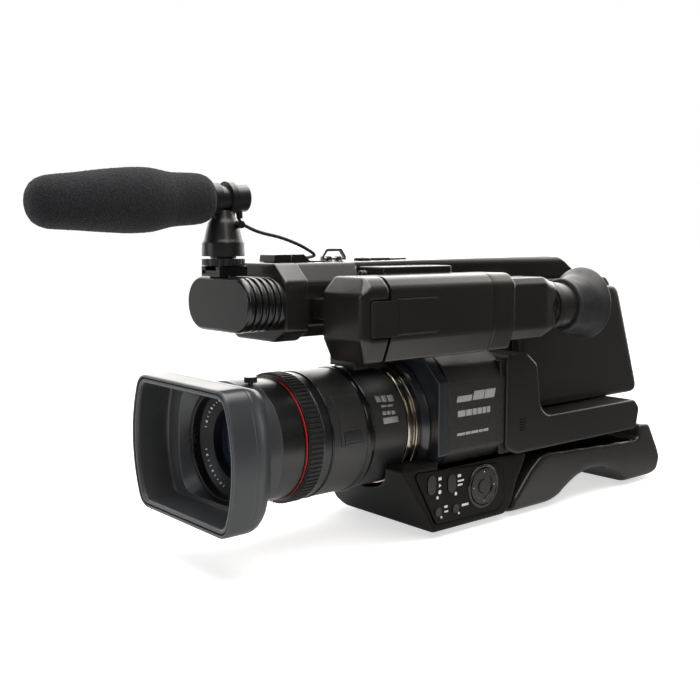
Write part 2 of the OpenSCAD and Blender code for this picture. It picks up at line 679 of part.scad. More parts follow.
module vf_housing() color("dimgray") difference() {
    union() {
        hull() {
            along_y(87, 101.5) polygon(rounded(vf_pts, vf_r, 5));
            along_y(80, 81) polygon([[lcd_x - 2, 73], [lcd_x - 2, 102], [vf_inner + 2, 102],
                [vf_inner + 2, 73]]);
            along_y(102, 103) translate([-1.5, 0]) polygon(rounded(vf_pts, vf_r, 5));
        }
        along_y(102, vf_rear + 1) vf_section(vf_inner, lcd_x - lcd_t - gap);
        along_y(vf_rear, vf_mid) polygon(rounded(vf_pts, vf_r, 5));
        hull() {
            along_y(vf_mid - 1, 262) polygon([[lcd_x - 2, 72], [lcd_x - 2, 104], [lcd_x - 6, 109],
                [vf_inner + 8, 109],
                [vf_inner + 3, 104], [vf_inner + 3, 72], [vf_inner + 8, 64], [lcd_x - 7, 64]]);
            along_y(vf_end - 1, vf_end) polygon([[lcd_x - 4, 73], [lcd_x - 4, 100], [lcd_x - 8, 104],
                [vf_inner + 9, 104], [vf_inner + 5, 100], [vf_inner + 5, 73], [vf_inner + 9, 69],
                [lcd_x - 8, 69]]);
        }
        translate([bar_half + gap, 132, 106]) cube([vf_inner - bar_half + 4, 66, 12]);
        translate([30 + gap, 84, 84]) cube([vf_inner - 26, 20, 14]);
    }
    rod_y([eye.x, 200, eye.y], 16.1, 100);
    along_y(110, 196) polygon([[lcd_x - lcd_t - 3, 70], [lcd_x - lcd_t - 3, 104], [vf_inner + 3, 104],
        [vf_inner + 3, 70]]);
    translate([hinge.x - 6, hinge.y, hinge_z[0] - 0.5]) cube([20, 30, hinge_z[1] - hinge_z[0] + 1]);
    rod_z([hinge.x, hinge.y, hinge_z[0] - 0.5], 5.3, hinge_z[1] - hinge_z[0] + 1);
    translate([hinge.x, hinge.y - 5.3, hinge_z[0] - 0.5]) cube([6, 6, hinge_z[1] - hinge_z[0] + 1]);
    rod_z([hinge.x, hinge.y, hinge_z[0] - 3], 1.55, 29);
}

module eyepiece_tube() color("black") difference() {
    union() {
        rod_y([eye.x, 262, eye.y], 16, 15);
        rod_y([eye.x, vf_end + gap, eye.y], 17.6, cup_y - vf_end - gap);
        rod_y([eye.x, cup_y - 1, eye.y], 15.8, 10);
    }
    rod_y([eye.x, 261, eye.y], 12.5, 45);
    rod_y([eye.x, 304, eye.y], 14, 10);
}

module diopter_ring() color("black") union() {
    translate([eye.x, 0, eye.y]) ring(17.6 + run, 19.2, 278, 284);
    translate([eye.x - 2, 278.6, eye.y - 22.6]) cube([4, 4.8, 4.4]);
}

// A short sleeve with a wide flared rim.
module eyecup() color("black") translate([eye.x, 0, eye.y]) turned() polygon([[15.8 + run, cup_y + gap],
    [20, cup_y + gap], [20.6, cup_y + 1], [21.6, 316], [22.6, 318], [26, 322], [eyecup_r, 326.2],
    [eyecup_r, 327.4], [eyecup_r - 1.4, 327.4], [24, 323.8], [20, 320], [18.4, 314], [15.8 + run, 310]]);

module lcd_cover() color("dimgray") difference() {
    union() {
        along_y(lcd_y0, lcd_y1) vf_section(lcd_x - lcd_t, lcd_x);
        translate([lcd_x - 1, arm_end, hinge_z[0]]) cube([1.5, 37, hinge_z[1] - hinge_z[0]]);
    }
    translate([lcd_x - lcd_t - 1, lcd_y0 + 12, 66]) cube([2.2, lcd_len - 18, 40]);
    translate([lcd_x - 11, lcd_y0 - 1, hinge_z[0] - gap]) cube([20, arm_end - lcd_y0 + 1 + gap,
        23 + 2 * gap]);
}

module lcd_screen() color("midnightblue")
    translate([lcd_x - lcd_t + 0.1, lcd_y0 + 12.2, 66.2]) cube([0.9, lcd_len - 18.4, 39.6]);

// The monitor's hinge arm: a knuckle with its pin, and the flat arm that carries the monitor.
module lcd_hinge_arm() color("silver") union() {
    rod_z([hinge.x, hinge.y, hinge_z[0]], 5, 23);
    translate([hinge.x - 5.5, hinge.y, hinge_z[0]]) cube([10.5, arm_end - hinge.y, 23]);
    rod_z([hinge.x, hinge.y, hinge_z[0] - 2.4], 1.5, 27.8);
}

// ---------- right-hand grip ----------
grip_y = [180, 288];
grip_x = -body_half - gap;

zoom_at = [223, 41];

module grip_body() color("black") union() {
    difference() {
        hull() {
            along_x(grip_x - 6, grip_x) polygon(rounded([[182, -24], [176, 30], [196, 46], [272, 44],
                [286, 20],
                [280, -24]], 8));
            along_x(grip_x - 24, grip_x - 20) polygon(rounded([[196, -14], [190, 22], [206, 36], [262,
                34], [272, 14],
                [268, -14]], 9));
        }
        translate([grip_x - 22, 204.5, 36]) cube([15, 37, 20]);
        rod_y([grip_x - 12, 272, 20], 5.2, 30);
    }
    rod_x([grip_x - 20, zoom_at[0], zoom_at[1]], 1.3, 14);
}

module grip_zoom_rocker() color("gray") difference() {
    along_x(grip_x - 20, grip_x - 9) polygon([[206, 41], [206, 48], [212, 50], [234, 50], [240, 48],
        [240, 41], [230, 37.5],
        [216, 37.5]]);
    rod_x([grip_x - 24, zoom_at[0], zoom_at[1]], 1.3 + run, 20);
}

module grip_rec_button() color("red") rod_y([grip_x - 12, 275, 20], 5, 9.5);

strap_x = grip_x - 50;

// The strap's centre line arches out from the grip's front lug to its rear lug.
strap_outer = rounded([[grip_x - 1, 169], [strap_x + 12, 182], [strap_x, 205], [strap_x, 262],
    [strap_x + 12, 284],
    [grip_x - 1, 296]], [0, 10, 16, 16, 10, 0]);
strap_inner = rounded([[grip_x - 1, 173.4], [strap_x + 15, 186], [strap_x + 4, 207], [strap_x + 4, 260],
    [strap_x + 15, 280], [grip_x - 1, 291]], [0, 8, 14, 14, 8, 0]);

module hand_strap() color("black")
    along_z(-22, 10) polygon(concat(strap_outer,
        [for (i = [len(strap_inner) - 1 : -1 : 0]) strap_inner[i]]));

// ---------- drawing ----------
placed() lens_hood();
placed() hood_lock_screw();
placed() front_barrel();
placed() name_ring();
placed() front_element();
placed() accent_ring();
placed() manual_ring();
placed() ring_grip();
placed() function_barrel();
placed() camera_function_button();
placed() rear_barrel();
placed() chrome_ring();
placed() flange_ring();
placed() inner_tube();
placed() lens_groups();
placed() front_bezel();
placed() left_cover();
placed() right_cover();
placed() side_panel();
placed() tower_shell();
placed() cheek_panel();
placed() rear_cover();
placed() battery_pack();
placed() battery_latch();
placed() card_door();
placed() main_board();
placed() base_housing();
placed() control_plate();
placed() nav_dial();
placed() nav_centre_button();
placed() panel_button(0);  // panel_button_1
placed() panel_button(1);  // panel_button_2
placed() panel_button(2);  // panel_button_3
placed() panel_button(3);  // panel_button_4
placed() tripod_plate();
placed() case_screws();
placed() shoulder_arm();
placed() shoulder_cushion();
placed() handle_body();
placed() handle_nose();
placed() handle_rec_button();
placed() handle_zoom_rocker();
placed() strap_loop();
placed() accessory_shoe();
placed() shoe_lock_wheel();
placed() mic_stem();
placed() mic_tube();
placed() mic_windscreen();
placed() mic_cable();
placed() vf_housing();
placed() eyepiece_tube();
placed() diopter_ring();
placed() eyecup();
placed() lcd_cover();
placed() lcd_screen();
placed() lcd_hinge_arm();
placed() grip_body();
placed() hand_strap();
placed() grip_zoom_rocker();
placed() grip_rec_button();
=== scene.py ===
import math

import bmesh
import bpy
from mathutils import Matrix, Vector, noise
from mathutils.bvhtree import BVHTree
from mathutils.kdtree import KDTree


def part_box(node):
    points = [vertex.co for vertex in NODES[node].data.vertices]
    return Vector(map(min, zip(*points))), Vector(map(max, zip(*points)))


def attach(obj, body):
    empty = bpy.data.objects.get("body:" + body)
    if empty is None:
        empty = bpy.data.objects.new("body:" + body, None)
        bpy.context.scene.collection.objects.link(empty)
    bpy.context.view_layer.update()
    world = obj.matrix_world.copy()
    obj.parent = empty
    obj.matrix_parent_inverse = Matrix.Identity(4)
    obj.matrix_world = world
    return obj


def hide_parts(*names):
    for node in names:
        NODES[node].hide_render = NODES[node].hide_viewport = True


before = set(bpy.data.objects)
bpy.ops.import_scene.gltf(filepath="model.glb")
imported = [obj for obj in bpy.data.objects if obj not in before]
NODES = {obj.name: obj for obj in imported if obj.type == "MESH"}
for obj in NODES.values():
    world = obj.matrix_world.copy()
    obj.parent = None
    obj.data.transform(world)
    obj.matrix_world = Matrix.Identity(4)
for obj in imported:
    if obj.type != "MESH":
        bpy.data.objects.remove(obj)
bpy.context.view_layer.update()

MM = 0.001
PER_METRE = 1000.0
ROOT = "camcorder"

hood_lo, hood_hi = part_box("lens_hood")
# the datum is the middle of the hood's mouth, on the lens axis
DATUM = Vector(((hood_lo.x + hood_hi.x) / 2, hood_lo.y, (hood_lo.z + hood_hi.z) / 2))


def at(x, y, z):
    """A point given from the datum, in mm, as a point of the frame, in metres."""
    return DATUM + Vector((x, y, z)) * MM


def span(node):
    """A node's lowest and highest corners, in mm from the datum."""
    lo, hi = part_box(node)
    return (lo - DATUM) / MM, (hi - DATUM) / MM


# ---------- materials ----------
EDGE_RANGE = (0.51, 0.56)       # pointiness from where an edge starts to show to where it shows fully
GLOSS_SMEAR, GLOSS_DUST = 0.88, 0.12    # how much of a plastic's gloss pattern is broad smears and fine dust
COAT_ROUGH = 0.12


class Net:
    """A material's node tree, with short calls to add and join nodes."""

    def __init__(self, name):
        self.mat = bpy.data.materials.new(name)
        self.mat.use_nodes = True
        self.tree = self.mat.node_tree
        self.tree.nodes.clear()
        self.out = self.tree.nodes.new("ShaderNodeOutputMaterial")
        self.bsdf = self.tree.nodes.new("ShaderNodeBsdfPrincipled")
        self.tree.links.new(self.bsdf.outputs[0], self.out.inputs["Surface"])
        self.coord = self.node("ShaderNodeTexCoord").outputs["Object"]

    def node(self, kind, ins=None, **props):
        n = self.tree.nodes.new(kind)
        for k, v in props.items():
            setattr(n, k, v)
        for k, v in (ins or {}).items():
            self.put(n.inputs[k], v)
        return n

    def put(self, socket, value):
        if isinstance(value, bpy.types.NodeSocket):
            self.tree.links.new(value, socket)
        else:
            socket.default_value = value

    def stretched(self, stretch):
        """The object's coordinates, scaled along each axis."""
        if not stretch:
            return self.coord
        return self.node("ShaderNodeMapping", {"Vector": self.coord, "Scale": stretch}).outputs[0]

    def noise(self, size_mm, detail=3.0, rough=0.55, stretch=None):
        """Noise whose features are about size_mm across, from 0 to 1."""
        ins = {"Vector": self.stretched(stretch), "Scale": PER_METRE / size_mm, "Detail": detail,
               "Roughness": rough}
        return self.node("ShaderNodeTexNoise", ins).outputs["Fac"]

    def cells(self, size_mm, feature="F1", stretch=None):
        """Distance to the nearest of points about size_mm apart."""
        ins = {"Vector": self.stretched(stretch), "Scale": PER_METRE / size_mm}
        return self.node("ShaderNodeTexVoronoi", ins, feature=feature).outputs["Distance"]

    def remap(self, value, lo, hi, to_lo, to_hi):
        ins = {"Value": value, "From Min": lo, "From Max": hi, "To Min": to_lo, "To Max": to_hi}
        return self.node("ShaderNodeMapRange", ins).outputs[0]

    def vector(self, op, a, b, out=0):
        return self.node("ShaderNodeVectorMath", {0: a, 1: b}, operation=op).outputs[out]

    def toned(self, colour, tone):
        """A colour times a number."""
        return self.node("ShaderNodeVectorMath", {0: colour, "Scale": tone}, operation="SCALE").outputs[0]

    def math(self, op, a, b=0.0, c=0.0):
        n = self.node("ShaderNodeMath", operation=op)
        for i, v in enumerate((a, b, c)):
            self.put(n.inputs[i], v)
        return n.outputs[0]

    def mix(self, fac, a, b):
        n = self.node("ShaderNodeMix", data_type="RGBA")
        self.put(n.inputs["Factor"], fac)
        for sock, v in ((n.inputs[6], a), (n.inputs[7], b)):
            self.put(sock, v if isinstance(v, bpy.types.NodeSocket) else (*v, 1.0))
        return n.outputs[2]

    def bump(self, height, depth_mm, strength=1.0):
        ins = {"Height": height, "Distance": depth_mm * MM, "Strength": strength}
        return self.node("ShaderNodeBump", ins).outputs[0]

    def edge(self):
        """1 along the convex edges of a finely divided mesh, 0 on its flats."""
        point = self.node("ShaderNodeNewGeometry").outputs["Pointiness"]
        return self.remap(point, *EDGE_RANGE, 0.0, 1.0)

    def set(self, **ins):
        names = {"base": "Base Color", "rough": "Roughness", "metal": "Metallic", "normal": "Normal",
                 "spec": "Specular IOR Level", "coat": "Coat Weight", "coat_rough": "Coat Roughness",
                 "sheen": "Sheen Weight", "sheen_rough": "Sheen Roughness",
                 "emit": "Emission Color", "emit_strength": "Emission Strength"}
        for k, v in ins.items():
            if isinstance(v, tuple) and len(v) == 3:
                v = (*v, 1.0)
            self.put(self.bsdf.inputs[names[k]], v)
        return self.mat


def plastic(name, base, rough, grain_mm=0.35, grain=0.02, blotch=0.2, rough_var=0.06, coat=0.0, edge_wear_and_highlight=0.0,
            spec=0.5):
    """Moulded plastic or paint: a spark texture, smears in the gloss, slight tone changes, paler edges that
    are partly wear and partly a painted highlight.
    """
    m = Net(name)
    smear = m.noise(38.0, 3.0, 0.5, (1.0, 0.5, 1.4))
    dust = m.noise(3.2, 5.0, 0.7)
    tone = m.remap(smear, 0.3, 0.7, 1.0 - blotch, 1.0 + blotch)
    colour = m.toned(base, tone)
    if edge_wear_and_highlight:
        # paler edges: partly edge wear, partly a painted highlight along the edges
        pale = tuple(min(1.0, c * 2.0 + 0.025) for c in base)
        spots = m.remap(dust, 0.35, 0.65, 0.2, 1.0)
        worn_and_lit_edge = m.math("MULTIPLY", m.math("MULTIPLY", m.edge(), spots), edge_wear_and_highlight)
        colour = m.mix(worn_and_lit_edge, colour, pale)
    mixed = m.math("ADD", m.math("MULTIPLY", smear, GLOSS_SMEAR), m.math("MULTIPLY", dust, GLOSS_DUST))
    gloss = m.remap(mixed, 0.35, 0.65, rough - rough_var, rough + rough_var)
    normal = m.bump(m.noise(grain_mm, 2.0, 0.5), grain, strength=0.8)
    return m.set(base=colour, rough=gloss, normal=normal, coat=coat, coat_rough=COAT_ROUGH, spec=spec)


def crinkle(name, base, rough):
    """Crinkle paint: small raised islands with channels between them, with painted shade in the channels and
    painted light on the islands.
    """
    m = Net(name)
    islands = m.cells(0.8, "SMOOTH_F1")
    fine = m.noise(0.45, 3.0, 0.6)
    height = m.math("ADD", m.remap(islands, 0.0, 0.75, 1.0, 0.0), m.math("MULTIPLY", fine, 0.35))
    # painted shade and light: darker in the channels, paler on the raised islands
    tone = m.remap(height, 0.3, 1.2, 0.55, 1.35)
    gloss = m.remap(m.noise(18.0), 0.3, 0.7, rough - 0.05, rough + 0.08)
    return m.set(base=m.toned(base, tone), rough=gloss, normal=m.bump(height, 0.11), spec=0.5)


def metal(name, base, rough, brushed=(1.0, 1.0, 1.0)):
    """Bare metal with fine lines, drawn out along the axes where brushed is small."""
    m = Net(name)
    lines = m.noise(0.6, 2.0, 0.6, brushed)
    smear = m.noise(14.0, 3.0)
    tone = m.remap(smear, 0.3, 0.7, 0.86, 1.1)
    gloss = m.remap(m.math("ADD", m.math("MULTIPLY", lines, 0.5), m.math("MULTIPLY", smear, 0.5)), 0.3, 0.7,
                    max(0.03, rough - 0.06), rough + 0.08)
    return m.set(base=m.toned(base, tone), rough=gloss, metal=1.0, normal=m.bump(lines, 0.006))


def rubber(name, base, rough, grain_mm, sheen):
    """Matt rubber with a pale bloom in patches."""
    m = Net(name)
    fine = m.noise(grain_mm, 3.0, 0.65)
    bloom = m.noise(9.0, 4.0, 0.6)
    pale = tuple(c * 1.7 + 0.012 for c in base)
    colour = m.mix(m.remap(bloom, 0.4, 0.7, 0.0, 0.5), base, pale)
    return m.set(base=colour, rough=m.remap(bloom, 0.3, 0.7, rough + 0.06, rough - 0.06), sheen=sheen,
                 normal=m.bump(fine, 0.03), spec=0.35)


def red_line(name):
    """Black paint with a red line round the rear half of the ring."""
    m = Net(name)
    lo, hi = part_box("accent_ring")
    across = m.node("ShaderNodeSeparateXYZ", {0: m.coord}).outputs[1]
    start = lo.y + (hi.y - lo.y) * 0.42
    red = m.remap(across, start, start + 0.0001, 0.0, 1.0)
    speck = m.remap(m.noise(1.2), 0.3, 0.7, 0.85, 1.1)
    colour = m.mix(red, (0.009, 0.009, 0.01), m.toned((0.74, 0.022, 0.022), speck))
    return m.set(base=colour, rough=0.3, normal=m.bump(m.noise(0.5), 0.005))


def foam_material():
    """Open-cell foam: painted shade in the pores, paler struts, and a soft velvet edge."""
    m = Net("foam")
    wide_pores = m.cells(0.95)
    fine_pores = m.cells(0.5)
    lint = m.noise(2.0, 5.0, 0.7)
    height = m.math("ADD", m.math("MULTIPLY", wide_pores, 0.7), m.math("MULTIPLY", fine_pores, 0.5))
    # painted shade: the pores darker than the struts
    colour = m.mix(m.remap(height, 0.15, 0.75, 0.0, 1.0), (0.003, 0.003, 0.0035), (0.026, 0.026, 0.030))
    colour = m.mix(m.remap(lint, 0.62, 0.8, 0.0, 0.3), colour, (0.06, 0.06, 0.068))
    return m.set(base=colour, rough=0.95, sheen=0.12, sheen_rough=0.5, normal=m.bump(height, 0.5), spec=0.08)


def webbing(name, base, pitch_mm):
    """Woven nylon: a plain weave of raised threads, two to the pitch."""
    m = Net(name)
    sep = m.node("ShaderNodeSeparateXYZ", {0: m.coord})
    turns = 2 * math.pi * PER_METRE / pitch_mm
    rows = m.math("SINE", m.math("MULTIPLY", sep.outputs[2], turns))
    cols = m.math("SINE", m.math("MULTIPLY", m.math("ADD", sep.outputs[1], sep.outputs[0]), turns))
    weave = m.math("MULTIPLY", rows, cols)
    fuzz = m.noise(0.5, 3.0)
    height = m.math("ADD", m.math("MULTIPLY", weave, 0.5), fuzz)
    # painted shade: darker where the weave sinks, paler on the raised threads
    colour = m.mix(m.remap(height, 0.2, 1.1, 0.0, 1.0), tuple(c * 0.4 for c in base), base)
    return m.set(base=colour, rough=0.85, sheen=0.5, normal=m.bump(height, 0.25), spec=0.25)


def coated_glass(name, tint):
    """Coated glass over a dark barrel: the reflection shifts from violet to green with the angle."""
    m = Net(name)
    facing = m.node("ShaderNodeLayerWeight", {"Blend": 0.35}).outputs["Facing"]
    dust = m.noise(4.0, 5.0, 0.7)
    colour = m.mix(facing, tint, (0.01, 0.03, 0.03))
    film = m.mix(m.remap(facing, 0.1, 0.7, 0.0, 1.0), (0.55, 0.35, 1.0), (0.25, 0.9, 0.7))
    mat = m.set(base=colour, rough=m.remap(dust, 0.4, 0.7, 0.02, 0.07), spec=0.9, coat=1.0, coat_rough=0.02)
    m.put(m.bsdf.inputs["Specular Tint"], film)
    return mat


def board_material():
    """Green solder mask over copper tracks."""
    m = Net("solder_mask")
    tracks = m.cells(3.0, "DISTANCE_TO_EDGE", (1.0, 1.0, 0.4))
    colour = m.mix(m.remap(tracks, 0.02, 0.08, 1.0, 0.0), (0.01, 0.09, 0.035), (0.05, 0.25, 0.09))
    return m.set(base=colour, rough=0.35, normal=m.bump(tracks, 0.05))


# plastic: name, colour, roughness, grain size and depth in mm, change of tone, change of gloss
M = {
    # the hood's paler edges are partly wear and partly a painted highlight
    "hood": plastic("hood_plastic", (0.0355, 0.039, 0.044), 0.36, 0.3, 0.02, 0.08, 0.04, edge_wear_and_highlight=0.3),
    # a paler copy of the hood plastic for its inner walls: painted light, standing in for the light those
    # walls mirror
    "hood_in": plastic("hood_inside", (0.043, 0.045, 0.048), 0.34, 0.4, 0.03, 0.15),
    "black": plastic("black_plastic", (0.008, 0.008, 0.0085), 0.3, 0.3, 0.02),
    "body": plastic("body_plastic", (0.0125, 0.0110, 0.0097), 0.3, 0.6, 0.05, 0.1, 0.02),
    "smooth": plastic("handle_plastic", (0.0120, 0.0106, 0.0094), 0.22, 0.5, 0.02, 0.1, 0.02),
    "gloss": plastic("panel_gloss", (0.0135, 0.0122, 0.0108), 0.2, 0.4, 0.008, 0.1, 0.03, coat=0.2),
    # a darker copy of the body plastic for the base: painted shade on its front face
    "base": plastic("base_plastic_shaded", (0.0062, 0.0056, 0.0050), 0.33, 0.6, 0.05, 0.1, 0.02, spec=0.12),
    "arm": plastic("arm_plastic", (0.019, 0.0172, 0.0157), 0.22, 0.6, 0.04, 0.1, 0.02),
    "nose": plastic("nose_gloss", (0.0062, 0.0062, 0.0066), 0.22, 0.5, 0.01, 0.1, 0.02, spec=0.4, coat=0.2),
    "button": plastic("button_gloss", (0.030, 0.032, 0.036), 0.24, 0.4, 0.008, 0.1, 0.03, coat=0.3),
    # a darker copy of the panel plastic for the control plate: painted shade on the plate
    "plate": plastic("plate_paint_shaded", (0.0042, 0.0038, 0.0034), 0.28, 0.4, 0.008, 0.1, 0.03, spec=0.13),
    "bezel": plastic("bezel_gloss", (0.019, 0.022, 0.028), 0.2, 0.5, 0.008, 0.1, 0.03, coat=0.4),
    "barrel": plastic("barrel_paint", (0.0115, 0.0115, 0.012), 0.28, 0.3, 0.005, 0.05, 0.01, coat=0.15),
    # a paler copy of the barrel paint for the function and rear barrels: painted light, their broad lit band
    "sleeve": plastic("sleeve_paint_lit", (0.036, 0.036, 0.037), 0.36, 0.3, 0.006, 0.05, 0.01),
    "crinkle": crinkle("crinkle_paint", (0.025, 0.0225, 0.0198), 0.42),
    "rubber": rubber("black_rubber", (0.009, 0.009, 0.0095), 0.5, 0.5, 0.1),
    "grey_rubber": rubber("grey_rubber", (0.0135, 0.0138, 0.0155), 0.42, 0.4, 0.08),
    "grey": plastic("grey_plastic", (0.014, 0.0135, 0.013), 0.22, 0.3, 0.01, 0.1),
    "mark": plastic("white_paint", (0.8, 0.8, 0.78), 0.4, 0.2, 0.01, 0.05),
    "neoprene": rubber("neoprene_pad", (0.012, 0.012, 0.013), 0.75, 0.9, 0.3),
    "thread": webbing("sewing_thread", (0.05, 0.05, 0.054), 0.5),
    "red": red_line("red_line"),
    "red_cap": plastic("red_plastic", (0.45, 0.015, 0.015), 0.3, 0.4, 0.01, 0.08, 0.03, coat=0.3),
    "name": plastic("name_paint", (0.006, 0.006, 0.0065), 0.5, 0.3, 0.006, spec=0.3),
    # near-black paint on shallow blocks for slots and vents: painted shade standing in for the depth of the
    # openings
    "slot": plastic("slot_painted_shade", (0.0015, 0.0015, 0.0015), 0.8, 0.3, 0.01, spec=0.05),
    "badge": plastic("pale_print", (0.40, 0.40, 0.39), 0.35, 0.2, 0.01, 0.06),
    "chrome": metal("warm_chrome", (0.52, 0.47, 0.38), 0.15, (0.2, 6.0, 0.2)),
    "steel": metal("steel", (0.60, 0.59, 0.57), 0.26),
    "anodised": metal("anodised", (0.055, 0.055, 0.058), 0.3),
    "foam": foam_material(),
    "webbing": webbing("webbing", (0.028, 0.028, 0.030), 1.3),
    "lens": coated_glass("lens_glass", (0.02, 0.012, 0.05)),
    "screen": coated_glass("screen_glass", (0.004, 0.004, 0.006)),
    "board": board_material(),
}

# ---------- CAD nodes: finish and softened edges ----------

FINISH = {
    "black": ["hood_lock_screw", "battery_pack", "battery_latch", "handle_rec_button", "handle_zoom_rocker",
              "shoe_lock_wheel", "mic_stem", "diopter_ring", "grip_zoom_rocker"],
    "body": ["side_panel", "tower_shell", "cheek_panel", "rear_cover", "card_door"],
    "base": ["base_housing"],
    "arm": ["shoulder_arm"],
    "smooth": ["handle_body", "vf_housing"],
    "gloss": ["lcd_cover", "lcd_hinge_arm"],
    "nose": ["handle_nose", "nav_dial", "nav_centre_button", "panel_button_1", "panel_button_2",
             "panel_button_3", "panel_button_4"],
    "button": ["camera_function_button"],
    "plate": ["control_plate"],
    "bezel": ["flange_ring", "front_bezel"],
    "barrel": ["front_barrel", "manual_ring", "mic_tube"],
    "name": ["name_ring"],
    "sleeve": ["function_barrel", "rear_barrel"],
    "crinkle": ["left_cover", "right_cover", "grip_body"],
    "rubber": ["ring_grip", "shoulder_cushion", "mic_cable"],
    "grey_rubber": ["eyecup"],
    "grey": ["eyepiece_tube"],
    "red": ["accent_ring", "grip_rec_button"],
    "chrome": ["chrome_ring"],
    "steel": ["tripod_plate", "case_screws", "strap_loop"],
    "anodised": ["inner_tube", "accessory_shoe"],
    "foam": ["mic_windscreen"],
    "webbing": ["hand_strap"],
    "lens": ["front_element", "lens_groups"],
    "screen": ["lcd_screen"],
    "board": ["main_board"],
    "hood": ["lens_hood"],
}
ROUND = {     # edge radius in mm, and the parts that have it
    0.18: ["ring_grip"],
    0.2: ["accent_ring", "name_ring"],
    0.25: ["chrome_ring"],
    0.3: ["control_plate", "camera_function_button", "accessory_shoe", "tripod_plate", "rear_barrel",
          "manual_ring", "flange_ring", "diopter_ring"],
    0.35: ["nav_dial"],
    0.4: ["mic_stem", "nav_centre_button", "panel_button_1", "panel_button_2", "panel_button_3",
          "panel_button_4", "hood_lock_screw", "battery_latch", "function_barrel", "front_barrel",
          "eyepiece_tube"],
    0.5: ["lcd_hinge_arm", "card_door", "shoe_lock_wheel", "handle_rec_button", "handle_zoom_rocker",
          "strap_loop", "grip_rec_button", "mic_tube"],
    0.6: ["rear_cover", "grip_zoom_rocker"],
    0.7: ["lcd_cover"],
    0.8: ["handle_nose", "battery_pack"],
    1.0: ["front_bezel", "right_cover"],
    1.2: ["left_cover"],
}
RADIUS = {n: radius for radius, names in ROUND.items() for n in names}


WELD_M = 0.00002
FLAT_ANGLE = math.radians(0.4)      # faces closer than this to one plane are one flat
SHARP_ANGLE = math.radians(28)      # edges sharper than this get rounded


def soften(obj, radius_mm):
    """Welds the exact mesh, rounds its sharp edges and keeps the flats flat."""
    obj.data.polygons.foreach_set("use_smooth", [True] * len(obj.data.polygons))
    weld = obj.modifiers.new("weld", "WELD")
    weld.merge_threshold = WELD_M
    flat = obj.modifiers.new("flats", "DECIMATE")
    flat.decimate_type = "DISSOLVE"
    flat.angle_limit = FLAT_ANGLE
    if radius_mm:
        bev = obj.modifiers.new("round", "BEVEL")
        bev.width = radius_mm * MM
        bev.segments = 2
        bev.limit_method = "ANGLE"
        bev.angle_limit = SHARP_ANGLE
        bev.use_clamp_overlap = True
        bev.miter_outer = "MITER_ARC"
        bev.harden_normals = False
    keep = obj.modifiers.new("normals", "WEIGHTED_NORMAL")
    keep.keep_sharp = True
    keep.weight = 80


CAST = {      # softly cast parts: voxel in mm, smoothing passes
    "side_panel": (0.9, 7), "cheek_panel": (1.2, 44), "shoulder_arm": (1.3, 30), "tower_shell": (1.2, 5),
    "base_housing": (0.9, 8), "grip_body": (1.1, 12), "handle_body": (0.8, 5),
    "vf_housing": (0.7, 16),
}


def cast(obj, voxel_mm, passes):
    """Rounds a moulded part all over, as a soft casting is rounded."""
    obj.data.polygons.foreach_set("use_smooth", [True] * len(obj.data.polygons))
    skin = obj.modifiers.new("skin", "REMESH")
    skin.mode = "VOXEL"
    skin.voxel_size = voxel_mm * MM
    skin.use_smooth_shade = True
    relax = obj.modifiers.new("relax", "SMOOTH")
    relax.factor = 0.5
    relax.iterations = passes


for key, names in FINISH.items():
    for n in names:
        obj = NODES[n]
        obj.data.materials.clear()
        obj.data.materials.append(M[key])
        if n in CAST:
            cast(obj, *CAST[n])
        else:
            soften(obj, RADIUS.get(n, 0))

# ---------- mesh helpers ----------

def piece(name, verts, faces, mats, body=ROOT, replaced=(), smooth=True, slots=None):
    """A mesh built here, riding a CAD body; slots gives each face's material."""
    me = bpy.data.meshes.new(name)
    me.from_pydata([tuple(v) for v in verts], [], faces)
    me.validate()
    obj = bpy.data.objects.new(name, me)
    bpy.context.scene.collection.objects.link(obj)
    for m in (mats if isinstance(mats, (list, tuple)) else [mats]):
        me.materials.append(M[m])
    if slots:
        me.polygons.foreach_set("material_index", slots)
    me.polygons.foreach_set("use_smooth", [smooth] * len(me.polygons))
    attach(obj, body)
    if replaced:
        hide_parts(*replaced)
    return obj


def loft(rings, close=True, caps=False):
    """Faces between rings of points; close joins the last ring to the first."""
    n = len(rings[0])
    verts = [p for r in rings for p in r]
    faces, rows = [], len(rings) if close else len(rings) - 1
    for i in range(rows):
        j = (i + 1) % len(rings)
        for k in range(n):
            m = (k + 1) % n
            faces.append((i * n + k, i * n + m, j * n + m, j * n + k))
    if caps and not close:
        faces.append(tuple(reversed(range(n))))
        faces.append(tuple(range((len(rings) - 1) * n, len(rings) * n)))
    return verts, faces


def out_of(obj):
    """Turns every face outwards."""
    bm = bmesh.new()
    bm.from_mesh(obj.data)
    bmesh.ops.recalc_face_normals(bm, faces=bm.faces)
    bm.to_mesh(obj.data)
    bm.free()
    return obj


def resample(points, step):
    """Points along a polyline, about step apart."""
    out = [points[0]]
    for a, b in zip(points, points[1:]):
        n = max(1, round((Vector(b) - Vector(a)).length / step))
        out += [tuple(Vector(a).lerp(Vector(b), i / n)) for i in range(1, n + 1)]
    return out


def smooth_path(knots, per):
    """A Catmull-Rom curve through every knot."""
    k = [Vector(p) for p in knots]
    k = [2 * k[0] - k[1]] + k + [2 * k[-1] - k[-2]]
    out = []
    for a, b, c, d in zip(k, k[1:], k[2:], k[3:]):
        for i in range(per):
            t = i / per
            out.append(0.5 * (2 * b + (c - a) * t + (2 * a - 5 * b + 4 * c - d) * t ** 2
                              + (3 * b - a - 3 * c + d) * t ** 3))
    return out + [k[-2]]


def turned(profile, origin, axis, segments):
    """Rings of a closed (radius, distance) profile in mm, turned about an axis through origin."""
    axis = axis.normalized()
    side = axis.orthogonal().normalized()
    up = axis.cross(side)
    return [[origin + (axis * y + (side * math.cos(a) + up * math.sin(a)) * max(r, 0.01)) * MM
             for a in (2 * math.pi * i / segments for i in range(segments))] for r, y in profile]


